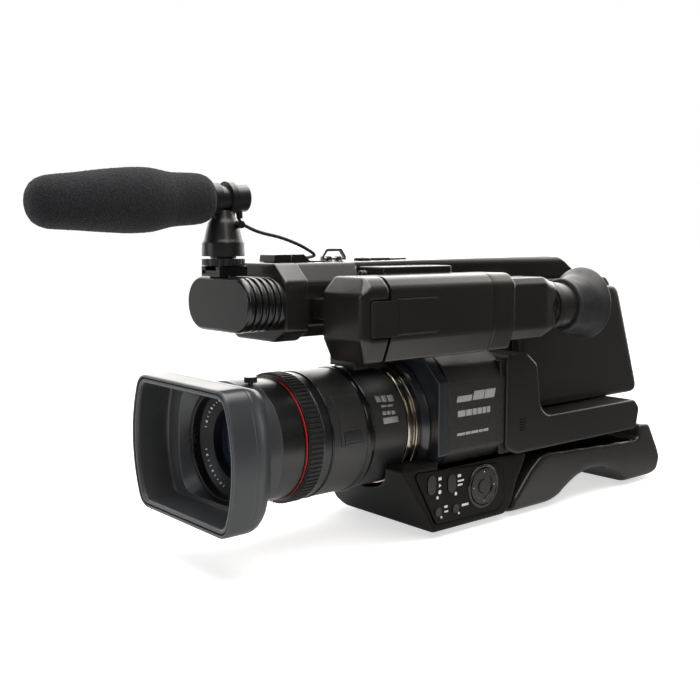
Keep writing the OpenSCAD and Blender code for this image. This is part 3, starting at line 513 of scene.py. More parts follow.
def tube(points, radius, sides):
    """A round tube along a path; radius in mm, a number or one per point."""
    rings, up = [], None
    for i, p in enumerate(points):
        t = (points[min(i + 1, len(points) - 1)] - points[max(i - 1, 0)]).normalized()
        up = (up - t * up.dot(t)).normalized() if up else t.orthogonal().normalized()
        side = t.cross(up)
        r = (radius[i] if isinstance(radius, list) else radius) * MM
        rings.append([p + (up * math.cos(a) + side * math.sin(a)) * r
                      for a in (2 * math.pi * k / sides for k in range(sides))])
    return loft(rings, close=False, caps=True)


# ---------- lens hood ----------
HOOD_POINTS = 288
SIDE_R = 97.0       # radius of the hood's bulging sides
HALVINGS = 22       # steps in the search for a point of the outline


def hood_outline(w, h, r):
    """The outline's radius at HOOD_POINTS angles: flat top and bottom, bulging sides, round corners."""
    mid = w / 2 - SIDE_R        # centre of the side's arc
    cz = h / 2 - r              # centre of the corner's arc, which touches side and top
    cx = mid + math.sqrt((SIDE_R - r) ** 2 - cz ** 2)
    radii = []
    for i in range(HOOD_POINTS):
        a = 2 * math.pi * i / HOOD_POINTS
        c, s = abs(math.cos(a)), abs(math.sin(a))
        lo, hi = 0.0, w
        for _ in range(HALVINGS):
            t = (lo + hi) / 2
            x, z = t * c, t * s
            if x > cx and (z - cz) * (cx - mid) > cz * (x - cx):
                inside = math.hypot(x - cx, z - cz) < r
            else:
                inside = z < h / 2 and math.hypot(x - mid, z) < SIDE_R
            lo, hi = (t, hi) if inside else (lo, t)
        radii.append(lo)
    return radii


def hood_ring(y, radii):
    """Points of an outline at y."""
    return [at(r * math.cos(a), y, r * math.sin(a))
            for r, a in ((radii[i], 2 * math.pi * i / HOOD_POINTS) for i in range(HOOD_POINTS))]


W, H = (hood_hi.x - hood_lo.x) / MM, (hood_hi.z - hood_lo.z) / MM
# sections of the hood: distance behind the mouth, change of width and of height, corner radius
OUTER = [   # from the rim back to the collar
    (0.5, -0.5, -0.4, 12), (1.4, -0.1, 0, 12), (3.0, 0, 0, 12), (9, 0, 0, 12), (16.2, 0, 0, 12),
    (16.9, -0.1, -0.1, 12), (17.2, -0.9, -0.8, 11.7), (17.9, -1.0, -0.9, 11.7), (18.2, -0.6, -0.4, 12),
    (18.9, -0.4, -0.3, 12), (21.5, -1.6, -1.0, 12), (24.5, -4.2, -2.2, 12.4), (28, -9.5, -4.2, 13),
    (31, -15.0, -5.8, 13.4), (33.6, -20.5, -7.2, 13.8), (35.2, -24.6, -8.6, 14), (35.9, -27.4, -10.2, 14),
]
COLLAR = [  # distance behind the mouth and radius, round the collar's outside, its rear edge and its bore
    (36.2, 43.3), (37.2, 43.0), (44, 43.0), (51.2, 43.0), (51.8, 42.7), (52, 42.0), (52, 40.4), (51.8, 39.6),
    (51.2, 39.2), (40, 39.2), (31.5, 39.2), (30.8, 39.5),
]
INNER = [   # from the bore forwards to the rim
    (24.6, -45.2, -19.6, 15), (24.1, -44.6, -19.0, 15), (24.0, -43.6, -18.4, 14.6), (24.0, -19.4, -15.0, 9.2),
    (23.7, -17.8, -14.2, 9), (22.6, -16.8, -13.6, 9), (21.4, -16.2, -13.2, 9), (15, -14.8, -13.0, 9),
    (8, -13.0, -12.4, 9), (3.4, -12.2, -12.0, 9), (1.6, -11.4, -11.4, 9), (0.75, -10.2, -10.2, 9.3),
    (0.45, -8.6, -8.6, 9.6), (0.5, -6.6, -6.6, 9.6), (0.9, -5.8, -5.8, 9.8), (1.9, -5.5, -5.5, 9.9),
    (2.2, -4.9, -4.9, 10.1), (1.9, -4.3, -4.3, 10.3), (0.6, -4.0, -4.0, 10.5), (0.1, -3.4, -3.4, 10.8),
    (0.0, -2.6, -2.6, 11.2), (0.1, -1.6, -1.6, 11.6),
]
BORE_RINGS = 6      # last rings of COLLAR, in the paler inside copy
RIM_RINGS = 13      # last rings of INNER, in the outside plastic
hood_rings = [hood_ring(y, hood_outline(W + dw, H + dh, r)) for y, dw, dh, r in OUTER]
hood_rings += [hood_ring(y, [r] * HOOD_POINTS) for y, r in COLLAR]
inside_from = len(hood_rings) - BORE_RINGS
hood_rings += [hood_ring(y, hood_outline(W + dw, H + dh, r)) for y, dw, dh, r in INNER]
verts, faces = loft(hood_rings)
first_rim = len(hood_rings) - RIM_RINGS
# the bore and inner walls take the paler inside copy of the plastic: painted light
hood = piece("hood_shell", verts, faces, ["hood", "hood_in"], replaced=["lens_hood"],
             slots=[1 if inside_from <= i // HOOD_POINTS < first_rim else 0 for i in range(len(faces))])
out_of(hood)
hood.modifiers.new("normals", "WEIGHTED_NORMAL").weight = 60

# ---------- microphone foam ----------
MIC_AT = at(0, 35.5, 163)
TILT = math.radians(2.6)
MIC_AXIS = Vector((0, math.cos(TILT), math.sin(TILT)))
FOAM = [    # radius and distance along the microphone
    (0.1, -130.3), (3, -130.2), (6, -129.6), (9, -128.3), (11.8, -126.2), (13.8, -123.2), (15.2, -119),
    (15.9, -113), (16.7, -104), (17.6, -95), (18.6, -84), (19.4, -75), (19.9, -66), (20.0, -58),
    (19.7, -52.5), (18.7, -47), (17.4, -41.5), (16.8, -36), (16.6, -29), (16.4, -22), (15.9, -17.6),
    (14.9, -14.4), (13.2, -12.2), (11.2, -11.0), (8.6, -10.8),
]
PORE_MM, LUMP_MM = 1.3, 16.0
profile = resample([(r, y, 0) for r, y in FOAM], 0.75)
verts, faces = loft(turned([(p[0], p[1]) for p in profile], MIC_AT, MIC_AXIS, 150), close=False)
foam = out_of(piece("foam_windscreen", verts, faces, "foam", replaced=["mic_windscreen"]))
for v in foam.data.vertices:
    p = v.co * PER_METRE
    out = (v.co - MIC_AT) - MIC_AXIS * (v.co - MIC_AT).dot(MIC_AXIS)
    if out.length > 2 * MM:
        cell = noise.voronoi(p / PORE_MM)[0][0]
        lump = noise.noise(p / LUMP_MM)
        v.co += out.normalized() * ((cell - 0.4) * 0.35 + lump * 0.22 - 0.12) * MM

# ---------- microphone cable ----------
CABLE = [(0, 47, 158), (0, 48.8, 148.6), (0, 56.2, 144.2), (0, 66.4, 140.9), (0, 81, 138), (0, 94, 134.1),
         (0, 104, 130), (-2, 112.4, 125.8), (-12, 115, 123.8), (-22, 114.4, 122.6), (-32, 111, 114),
         (-38.5, 104, 102), (-39.6, 98.4, 94), (-34, 98, 92.6)]
path = [at(*p) for p in smooth_path(CABLE, 10)]
CORD_R, BOOT = 1.15, 0.9       # the cord's radius, and how much thicker its moulded ends are
last = len(path) - 1
swell = [CORD_R + 0.05 * math.sin(i * 1.9) + max(0.0, BOOT - i * 0.12) + max(0.0, BOOT - (last - i) * 0.10)
         for i in range(len(path))]
verts, faces = tube(path, swell, 14)
out_of(piece("cable_cord", verts, faces, "rubber", replaced=["mic_cable"]))

# ---------- eyecup ----------
cup_lo, cup_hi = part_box("eyecup")
CUP_AT = Vector(((cup_lo.x + cup_hi.x) / 2, cup_lo.y, (cup_lo.z + cup_hi.z) / 2))
CUP = [     # radius and distance from the eyecup's front edge
    (15.95, 0.2), (19.2, 0.1), (20.0, 0.4), (20.5, 1.2), (20.6, 2.2), (20.35, 2.7), (20.5, 3.2), (21.0, 6),
    (21.7, 10), (22.4, 13.6), (22.9, 15.8), (23.3, 17.4), (24.6, 19.8), (26.4, 22.2), (27.9, 24.2),
    (28.6, 25.4), (28.8, 26.2), (28.7, 26.9), (28.3, 27.2), (27.6, 26.9), (26.2, 25.4), (24.2, 23.2),
    (22.4, 21.4), (20.6, 20.0), (19.3, 18.2), (18.6, 16), (18.3, 13.4), (17.4, 11.2), (15.95, 10.2),
]
profile = resample([(r, y, 0) for r, y in CUP], 0.9)
rings = turned([(p[0], p[1]) for p in profile], CUP_AT, Vector((0, 1, 0)), 120)
for (r, y, _), ring in zip(profile, rings):     # eight shallow flats round the waist, and a wavy lip
    flat = 0.5 * max(0.0, 1 - abs(y - 9) / 9) if r > 20 else 0.0
    for i, p in enumerate(ring):
        d = p - CUP_AT - Vector((0, y * MM, 0))
        a = math.atan2(d.z, d.x)
        pull = 1 - flat * 0.055 * (1 - math.cos(8 * a)) / 2
        wave = 1 - 0.006 * (1 + math.sin(3 * a + 1)) * max(0.0, (y - 18) / 9)
        ring[i] = CUP_AT + Vector((d.x * pull * wave, y * MM, d.z * pull * wave))
verts, faces = loft(rings)
out_of(piece("eyecup_rubber", verts, faces, "grey_rubber", "eyecup", ["eyecup"]))

# ---------- soft pads ----------

def band(path, up, half_w, half_t, power, around):
    """Rings of a flat strap along a path; up is its width direction, power how square its edges are."""
    rings = []
    for i, p in enumerate(path):
        t = (path[min(i + 1, len(path) - 1)] - path[max(i - 1, 0)]).normalized()
        out = t.cross(up).normalized()
        w = half_w[i] if isinstance(half_w, list) else half_w
        h = half_t[i] if isinstance(half_t, list) else half_t
        ring = []
        for k in range(around):
            a = 2 * math.pi * k / around
            c, d = math.cos(a), math.sin(a)
            ring.append(p + (up * math.copysign(abs(c) ** (2 / power), c) * w
                             + out * math.copysign(abs(d) ** (2 / power), d) * h) * MM)
        rings.append(ring)
    return rings


def applied(obj):
    """Replaces the object's mesh with its evaluated one, and drops the modifiers."""
    deps = bpy.context.evaluated_depsgraph_get()
    me = bpy.data.meshes.new_from_object(obj.evaluated_get(deps))
    obj.modifiers.clear()
    obj.data = me
    me.polygons.foreach_set("use_smooth", [True] * len(me.polygons))


PRESSURE = 4.0
SIM_FRAMES = 20


def puff(obj, voxel_mm, cap_mm):
    """Swells a pad by cloth simulation, no point moving further than cap_mm, and smooths it."""
    skin = obj.modifiers.new("skin", "REMESH")
    skin.mode = "VOXEL"
    skin.voxel_size = voxel_mm * MM
    applied(obj)
    rest = [v.co.copy() for v in obj.data.vertices]
    cloth = obj.modifiers.new("cloth", "CLOTH")
    cloth.settings.use_pressure = True
    cloth.settings.uniform_pressure_force = PRESSURE
    cloth.settings.effector_weights.gravity = 0.0
    scene = bpy.context.scene
    for f in range(1, SIM_FRAMES + 1):
        scene.frame_set(f)
    applied(obj)
    for v, r in zip(obj.data.vertices, rest):
        d = v.co - r
        if d.length > cap_mm * MM:
            v.co = r + d.normalized() * cap_mm * MM
    scene.frame_set(1)
    fine = obj.modifiers.new("fine", "SUBSURF")
    fine.levels = fine.render_levels = 1
    applied(obj)


def free_piece(name, verts, faces, mat):
    """A mesh not yet attached to a body, for simulation."""
    me = bpy.data.meshes.new(name)
    me.from_pydata([tuple(v) for v in verts], [], faces)
    me.materials.append(M[mat])
    obj = bpy.data.objects.new(name, me)
    bpy.context.scene.collection.objects.link(obj)
    return out_of(obj)


STITCH = [(-1.1, 0.12), (-0.8, 0.28), (-0.3, 0.34), (0.3, 0.34), (0.8, 0.28), (1.1, 0.12)]    # place, radius
STITCH_HALF = 1.1


def seam(name, surface, path, pitch_mm=3.0, sink_mm=0.9, reach_mm=2.6):
    """Pulls a line into a pad's surface and lays stitches along it."""
    tree = BVHTree.FromObject(surface, bpy.context.evaluated_depsgraph_get())
    line = []
    for p in path:
        hit, normal, _, _ = tree.find_nearest(p)
        line.append((hit, normal))
    kd = KDTree(len(line))
    for i, (p, _) in enumerate(line):
        kd.insert(p, i)
    kd.balance()
    for v in surface.data.vertices:
        _, i, dist = kd.find(v.co)
        if dist < reach_mm * MM:
            v.co -= line[i][1] * sink_mm * MM * (1 - (dist / (reach_mm * MM)) ** 2)
    verts, faces, gone = [], [], 0.0
    for (p, n), (q, _) in zip(line, line[1:]):
        gone += (q - p).length
        if gone < pitch_mm * MM:
            continue
        gone = 0.0
        t = (q - p).normalized()
        base = p - n * (sink_mm - 0.25) * MM
        arc = [base + t * u * MM + n * 0.38 * (1 - (u / STITCH_HALF) ** 2) * MM for u, _ in STITCH]
        vs, fs = tube(arc, [thick for _, thick in STITCH], 6)
        faces += [tuple(i + len(verts) for i in f) for f in fs]
        verts += vs
    return out_of(piece(name, verts, faces, "thread"))


# hand strap: a webbing band through two loops, with a padded sleeve over its middle
strap_lo, strap_hi = span("hand_strap")
STRAP_OUT = strap_lo.x + 2.1        # centre line of the strap where it is furthest out
STRAP_Z = (strap_lo.z + strap_hi.z) / 2
STRAP_KNOTS = [
    (-63, 172.2), (-72, 175.2), (-84, 179.4), (-95, 185.6), (STRAP_OUT + 3.6, 196), (STRAP_OUT + 0.6, 208),
    (STRAP_OUT, 222), (STRAP_OUT - 0.1, 236), (STRAP_OUT, 250), (STRAP_OUT + 0.8, 262), (STRAP_OUT + 4, 273),
    (-95, 281.4), (-84, 286.6), (-72, 290.4), (-63, 293.0),
]
WEB_HALF = (9.5, 0.85)              # half width and half thickness of the webbing
PAD_HALF = (13.6, 2.3)
PAD_FROM, PAD_TO = 0.21, 0.80       # the padded part of the path
strap_path = [at(x, y, STRAP_Z) for x, y, _ in smooth_path([(x, y, 0) for x, y in STRAP_KNOTS], 10)]
UP = Vector((0, 0, 1))
verts, faces = loft(band(strap_path, UP, *WEB_HALF, 6.0, 40), close=False, caps=True)
out_of(piece("strap_webbing", verts, faces, "webbing", replaced=["hand_strap"]))
n = len(strap_path)
pad_path = strap_path[round(n * PAD_FROM):round(n * PAD_TO)]
ends = [min(1.0, (min(i, len(pad_path) - 1 - i) + 1.5) / 7.0) ** 0.5 for i in range(len(pad_path))]
half_w, half_t = ([half * e for e in ends] for half in PAD_HALF)
verts, faces = loft(band(pad_path, UP, half_w, half_t, 4.0, 36), close=False, caps=True)
pad = free_piece("strap_pad", verts, faces, "neoprene")
puff(pad, 2.2, 1.4)
inner = [p + Vector((-3 * MM, 0, 0)) for p in pad_path[3:-3]]
for tag, height in (("low", -10.6), ("high", 10.6)):
    seam("strap_stitching_" + tag, pad, [p + UP * height * MM for p in inner])
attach(pad, ROOT)
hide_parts("hand_strap")
STRAP_RING = [(-1.9, -11.2), (1.9, -11.2), (2.6, -10.4), (2.6, 10.4), (1.9, 11.2), (-1.9, 11.2), (-2.6, 10.4),
              (-2.6, -10.4)]
for tag, (x, y), lean in (("front", STRAP_KNOTS[0], -1.0), ("rear", STRAP_KNOTS[-1], 1.0)):
    centre = at(x + 0.8, y, STRAP_Z)
    ring_pts = [centre + Vector((cx * 0.6 * MM, cx * lean * MM, cz * MM)) for cx, cz in STRAP_RING]
    ring_pts.append(ring_pts[0])
    verts, faces = tube([ring_pts[-2]] + ring_pts, 0.8, 10)
    out_of(piece("strap_ring_" + tag, verts, faces, "anodised"))

# shoulder cushion: a soft pad in the arch, with channels pressed across it
cushion_lo, cushion_hi = span("shoulder_cushion")
ARCH_TOP = cushion_hi.z - 2.3
ARCH_MID, ARCH_HALF, ARCH_RISE = 362.0, 54.0, 22.0
ARCH_END = 1.2              # gap at each end of the arch
ARCH_STEPS = 40


def arch(i):
    """A point of the pad's centre line."""
    y = cushion_lo.y + ARCH_END + (cushion_hi.y - cushion_lo.y - 2 * ARCH_END) * i / ARCH_STEPS
    return at(mid_x, y, ARCH_TOP - ARCH_RISE * ((y - ARCH_MID) / ARCH_HALF) ** 2 - 0.1)


mid_x = (cushion_lo.x + cushion_hi.x) / 2
arch_path = [arch(i) for i in range(ARCH_STEPS + 1)]
cushion_half = (cushion_hi.x - cushion_lo.x) / 2 - 1.0
verts, faces = loft(band(arch_path, Vector((1, 0, 0)), cushion_half, 1.6, 9.0, 72), close=False, caps=True)
cushion = free_piece("cushion_pad", verts, faces, "neoprene")
puff(cushion, 2.4, 0.7)
for k, x in enumerate((cushion_lo.x + 18, mid_x, cushion_hi.x - 18)):
    line = [Vector((DATUM.x + x * MM, p.y, p.z - 3 * MM)) for p in arch_path[3:-3]]
    seam("cushion_stitching_%d" % (k + 1), cushion, line, 3.4, sink_mm=0.8, reach_mm=3.2)
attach(cushion, ROOT)
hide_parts("shoulder_cushion")

# ---------- small fittings ----------

def block(name, lo, hi, edge_mm, mat, body=ROOT, taper=0.0):
    """A moulded block from corner lo to corner hi (mm from the datum), with round edges."""
    bm = bmesh.new()
    bmesh.ops.create_cube(bm, size=1.0)
    a, b = at(*lo), at(*hi)
    middle, size = (a + b) / 2, b - a
    for v in bm.verts:
        shrink = 1 - (taper if v.co.z > 0 else 0)
        v.co = middle + Vector((v.co.x * size.x * shrink, v.co.y * size.y * shrink, v.co.z * size.z))
    bmesh.ops.bevel(bm, geom=bm.edges[:] + bm.verts[:], offset=edge_mm * MM, segments=3, profile=0.6,
                    affect="EDGES")
    me = bpy.data.meshes.new(name)
    bm.to_mesh(me)
    bm.free()
    me.materials.append(M[mat])
    me.polygons.foreach_set("use_smooth", [True] * len(me.polygons))
    obj = bpy.data.objects.new(name, me)
    bpy.context.scene.collection.objects.link(obj)
    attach(obj, body)
    obj.modifiers.new("normals", "WEIGHTED_NORMAL")
    return out_of(obj)


def knob(name, point, axis, profile, mat, body=ROOT):
    """A turned fitting: profile is (radius, height) from its foot to the middle of its top, in mm."""
    rings = turned(profile, at(*point), Vector(axis), 48)
    verts, faces = loft(rings, close=False, caps=True)
    return out_of(piece(name, verts, faces, mat, body))


def flat_mark(name, outlines, x, mat="mark", thick=0.06, body=ROOT):
    """Painted shapes on a face at x: each outline is a list of (y, z) points in mm."""
    verts, faces = [], []
    for pts in outlines:
        n0, k = len(verts), len(pts)
        verts += [at(x, y, z) for y, z in pts] + [at(x + thick, y, z) for y, z in pts]
        faces.append(tuple(n0 + k + i for i in range(k)))
        faces += [(n0 + i, n0 + (i + 1) % k, n0 + k + (i + 1) % k, n0 + k + i) for i in range(k)]
    return out_of(piece(name, verts, faces, mat, body, smooth=False))


def dot(y, z, r):
    angles = [2 * math.pi * i / 20 for i in range(20)]
    return [(y + r * math.cos(a), z + r * math.sin(a)) for a in angles]


def bar(y, z, w, h):
    return [(y - w / 2, z - h / 2), (y + w / 2, z - h / 2), (y + w / 2, z + h / 2), (y - w / 2, z + h / 2)]


def arrow(y, z, size, a):
    pts = [(0.6, 0.0), (-0.5, 0.6), (-0.5, -0.6)]
    return [(y + size * (p * math.cos(a) - q * math.sin(a)), z + size * (p * math.sin(a) + q * math.cos(a)))
            for p, q in pts]


def centre_of(node):
    """The middle of a node's box, as (y, z)."""
    lo, hi = span(node)
    return (lo.y + hi.y) / 2, (lo.z + hi.z) / 2


PLATE_X = span("control_plate")[1].x
BUTTON_MARKS = [    # each button's marks (shape, place from the button, size) and its white dot (place, radius)
    ([(bar, 8.6, 3.4, 3.0, 2.2), (arrow, 8.8, -1.6, 2.2, 0), (dot, 8.6, -6.4, 1.5)], (6.2, -10.2, 1.2)),
    ([(bar, 8.2, 4.4, 3.4, 2.0), (bar, 9.8, 0.6, 6.6, 1.3), (bar, 9.0, -2.4, 5.0, 1.3)], (4.6, -8.4, 1.3)),
    ([(bar, 8.0, 2.4, 3.2, 1.8), (bar, 8.4, -1.2, 3.8, 1.3)], (3.4, -4.6, 0.9)),
    ([(bar, 10.2, 1.0, 7.0, 1.8)], (3.6, -4.2, 0.9)),
]
marks, white_dots = [], []
for k, (shapes, (dot_y, dot_z, dot_r)) in enumerate(BUTTON_MARKS):
    y, z = centre_of("panel_button_%d" % (k + 1))
    marks += [shape(y + dy, z + dz, *size) for shape, dy, dz, *size in shapes]
    white_dots.append(dot(y + dot_y, z + dot_z, dot_r))
flat_mark("panel_marks", marks, PLATE_X)
# white dots beside the buttons, in white paint
flat_mark("panel_dots", white_dots, PLATE_X, thick=0.15)
dial_y, dial_z = centre_of("nav_dial")
ARROW_R = 11.2
arrows = [arrow(dial_y + ARROW_R * math.cos(a), dial_z + ARROW_R * math.sin(a), 1.0, a)
          for a in (0, math.pi / 2, math.pi, 1.5 * math.pi)]
flat_mark("dial_arrows", arrows, span("nav_dial")[1].x, body="nav_dial")
SURROUND = [(16.6, 0), (16.6, 0.5), (16.3, 1.1), (15.7, 1.4), (15.0, 1.4), (14.4, 1.1), (14.0, 0.6),
            (13.95, 0.0)]
knob("dial_surround", (PLATE_X - 0.3, dial_y, dial_z), (1, 0, 0), SURROUND, "gloss")

# plain pale prints where the camcorder carries its lettering: bars only, no letters
cover_hi = span("left_cover")[1]
COVER_X = cover_hi.x


def slanted(y, z, w, h, lean):
    shift, up = h * lean / 2, h / 2
    return [(y - shift, z - up), (y + w - shift, z - up), (y + w + shift, z + up), (y + shift, z + up)]


def words(y, z, h, widths, gap, lean=0.0):
    """A row of plain blocks, as a line of print looks from afar."""
    row = []
    for w in widths:
        row.append(slanted(y, z, w, h, lean))
        y += w + gap
    return row


flat_mark("cover_bars", words(194.5, 21.4, 4.4, [15.5], 0.9, 0.25)
          + words(211.8, 22.6, 6.6, [11.5, 11.0], 0.9, 0.25)
          + words(195.5, 10.6, 4.6, [7.8, 6.0, 4.4, 4.6, 4.0, 3.4], 0.9)
          + words(195.0, -4.6, 2.0, [8.0, 5.4, 7.6, 3.8, 5.6], 0.8), COVER_X, "badge")


PRINT_MM = 0.05     # thickness of a print


def wrapped(name, radius, patches):
    """Prints on the lens barrel: each patch is (y, degrees above the side, width, height in mm)."""
    verts, faces, steps = [], [], 8
    for y, deg, w, h in patches:
        n0 = len(verts)
        for i in range(steps + 1):
            a = math.radians(deg) + (i / steps - 0.5) * h / radius
            verts += [at(radius * math.cos(a), y - w / 2, radius * math.sin(a)),
                      at(radius * math.cos(a), y + w / 2, radius * math.sin(a))]
        faces += [(n0 + 2 * i, n0 + 2 * i + 1, n0 + 2 * i + 3, n0 + 2 * i + 2) for i in range(steps)]
    obj = piece(name, verts, faces, "badge")
    obj.modifiers.new("thick", "SOLIDIFY").thickness = PRINT_MM * MM
    return out_of(obj)


rear_r = span("rear_barrel")[1].x
front_r = -span("function_barrel")[0].x
wrapped("barrel_bars", rear_r + 0.04, [
    (138.6, 34.4, 4.6, 5.0), (144.2, 34.0, 4.6, 5.0), (150.2, 33.4, 5.2, 5.0), (141.6, 26.8, 5.0, 1.5),
    (147.6, 26.4, 5.0, 1.5), (140.4, 20.2, 3.4, 2.6), (144.6, 20.0, 3.4, 2.6), (148.8, 19.6, 3.4, 2.6),
    (145.0, 13.2, 14.0, 4.2)])
wrapped("function_bars", front_r + 0.04, [(108.4, 30.6, 10.5, 1.8), (108.4, 26.6, 9.0, 1.8)])


def bead(name, y, half_w, radius, mat, crown):
    """A rounded bead round the lens barrel, closed inside the barrel."""
    angles = [math.pi * k / 10 for k in range(11)]
    section = [(radius - crown * (1 - math.sin(a)), -half_w * math.cos(a)) for a in angles]
    section.append((radius - crown - 1.0, 0.0))
    verts, faces = loft(turned(section, at(0, y, 0), Vector((0, 1, 0)), 160))
    return out_of(piece(name, verts, faces, mat))


bead("barrel_bead", 125.6, 3.5, rear_r + 1.7, "nose", 1.3)
bead("barrel_bead_mid", 92.0, 0.8, front_r + 0.45, "nose", 0.6)
bead("barrel_bead_front", 84.2, 0.7, front_r + 0.4, "bezel", 0.5)

# raised edges of the monitor's thumb plate
mon_x = span("lcd_cover")[1].x
for tag, z in (("top", 98.2), ("bottom", 75.6)):
    block("monitor_rail_" + tag, (mon_x - 0.5, 109.4, z), (mon_x + 0.25, 145.0, z + 0.8), 0.25, "bezel",
          body="monitor")

# right side of the tower: connector cover and vents
tower_x = span("tower_shell")[0].x
block("connector_cover", (tower_x - 0.7, 384.0, 30.0), (tower_x + 0.6, 414.0, 72.0), 0.6, "grey_rubber")
block("connector_tab", (tower_x - 1.2, 386.5, 47.0), (tower_x - 0.3, 389.0, 55.0), 0.4, "grey_rubber")
# the vents are shallow blocks in near-black paint: painted shade, not openings
for k in range(6):
    z = 66.0 + 3.4 * k
    block("tower_vent_%d" % (k + 1), (tower_x - 0.12, 352.0, z), (tower_x + 0.5, 374.0, z + 1.4), 0.3, "slot")

# moulded web behind the seam of the left cover and the side panel
block("cover_web", (40.0, cover_hi.y - 5.0, -26.0), (COVER_X - 0.75, cover_hi.y + 7.0, 46.0), 1.0, "body")

# dark wall behind the gap between the side panel and the shoulder arm: a black sheet that keeps the gap in
# painted shade
block("arm_gap_shade", (34.5, 292.0, -50.0), (38.5, 422.0, -25.0), 1.0, "black")

# speaker slots on the side panel: shallow blocks in near-black paint, painted shade for the openings
panel_x = span("side_panel")[1].x
for k in range(5):
    z = -1.6 - 2.1 * k
    block("speaker_slot_%d" % (k + 1), (panel_x - 0.5, 262.5, z), (panel_x + 0.12, 269.5, z + 0.7), 0.2,
          "slot")

# grip record button: a domed cap in a collar
rec_lo, rec_hi = span("grip_rec_button")
rec_foot = ((rec_lo.x + rec_hi.x) / 2, rec_lo.y, (rec_lo.z + rec_hi.z) / 2)
rec_long = rec_hi.y - rec_lo.y
cap = knob("grip_rec_cap", rec_foot, (0, 1, 0),
           [(4.1, 0.2), (4.1, rec_long - 1.3), (3.9, rec_long - 0.6), (3.3, rec_long - 0.2),
            (2.4, rec_long - 0.25), (1.2, rec_long - 0.4), (0.1, rec_long - 0.45)],
           "red_cap", body="grip_rec")
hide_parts("grip_rec_button")

# handle top: key row, divider behind the record button, knob in front of the bridge
KEY_Z = 121.9       # top face of the handle where the keys are
knob("handle_key_big", (0, 155.5, KEY_Z - 0.6), (0, 0, 1),
     [(6.4, 0), (6.4, 1.2), (6.1, 1.8), (5.4, 2.1), (4.2, 1.9), (3.2, 1.75), (2.4, 2.0), (1.2, 2.4),
      (0.1, 2.5)], "black")
for k, y in enumerate((168.0, 176.5)):
    block("handle_key_%d" % (k + 1), (-5, y - 2.6, KEY_Z - 0.8), (5, y + 2.6, KEY_Z + 1.3), 0.7, "black",
          taper=0.08)
for k, y in enumerate((184.5, 190.5, 196.5)):
    knob("handle_dot_%d" % (k + 1), (0, y, KEY_Z - 0.5), (0, 0, 1),
         [(2.5, 0), (2.5, 1.0), (2.2, 1.35), (1.6, 1.45), (0.1, 1.5)], "grey")
block("rec_divider", (-8.8, 84.12, 121.0), (8.8, 84.8, 125.4), 0.2, "chrome")
knob("bridge_knob", (30, 132.4, 112.2), (0, -1, 0),
     [(3.2, 0), (3.2, 1.2), (2.9, 1.6), (2.9, 3.2), (3.1, 3.6), (3.1, 4.6), (2.6, 5.2), (0.1, 5.4)], "black")
block("loop_tab", (-7.0, 105.0, 120.9), (7.0, 115.6, 122.0), 0.35, "grey")

# lens: ticks on the sloping face of the name ring
TICK_R = (30.2, 31.4)
TICK_Y, FACE_R, SLOPE = 36.12, 34.0, 0.7    # place of the ring's face at FACE_R, and its slope inwards
TICKS = 48
verts, faces = [], []
for k in range(TICKS):
    if k % 12 in (0, 1, 11):
        continue
    a = 2 * math.pi * k / TICKS
    half = math.radians(0.55 if k % 3 else 1.3)
    n0 = len(verts)
    for r, t in ((TICK_R[0], a - half), (TICK_R[0], a + half), (TICK_R[1], a + half), (TICK_R[1], a - half)):
        verts.append(at(r * math.cos(t), TICK_Y + (FACE_R - r) * SLOPE, r * math.sin(t)))
    faces.append((n0, n0 + 1, n0 + 2, n0 + 3))
ticks = piece("name_ring_ticks", verts, faces, "mark", smooth=False)
ticks.modifiers.new("thick", "SOLIDIFY").thickness = PRINT_MM * MM

# ---------- stage ----------
CAMERA_AT = (536.1, -308.06, 136.19)        # mm from the datum
CAMERA_AZIMUTH, CAMERA_DROP = math.radians(49.88), math.radians(6.52)
CAMERA_LENS, CAMERA_SENSOR = 49.53, 36.0
LIGHTS = [      # name, place, target, width, height, watts, colour
    ("overhead", (0.1, -0.05, 1.3), (0.0, -0.03, 0.1), 1.4, 1.4, 29.0, (1.0, 0.98, 0.95)),
    ("key_strip", (1.2, -0.35, 1.0), (0.05, -0.05, 0.1), 0.3, 1.0, 3.4, (1.0, 0.93, 0.84)),
    ("front_fill", (-0.35, -1.5, 0.5), (0, -0.2, 0.08), 0.7, 0.7, 4.4, (0.85, 0.92, 1.0)),
]
PAPER, DARK_PAPER = (0.74, 0.74, 0.74), (0.03, 0.028, 0.026)
FLOOR_GLOW = 0.62           # makes the floor white to the camera
FLOOR_GLOW_FAR = 0.5        # more of it towards the edge of the sweep
FLOOR_MIRROR_GLOW = 0.14          # glow of the floor that only glossy rays see: a painted reflection on glossy plastic
LOW_ROOM, HIGH_ROOM = (0.045, 0.04, 0.036), (0.56, 0.55, 0.53)
SWEEP_MIRRORED, SWEEP_SOFT = (3.8, 3.7, 3.55), (0.8, 0.8, 0.8)
ROOM_SOFT = (0.12, 0.115, 0.11)
WHITE = (1.0, 1.0, 1.0)

look = Vector((-math.sin(CAMERA_AZIMUTH) * math.cos(CAMERA_DROP),
               math.cos(CAMERA_AZIMUTH) * math.cos(CAMERA_DROP), -math.sin(CAMERA_DROP)))

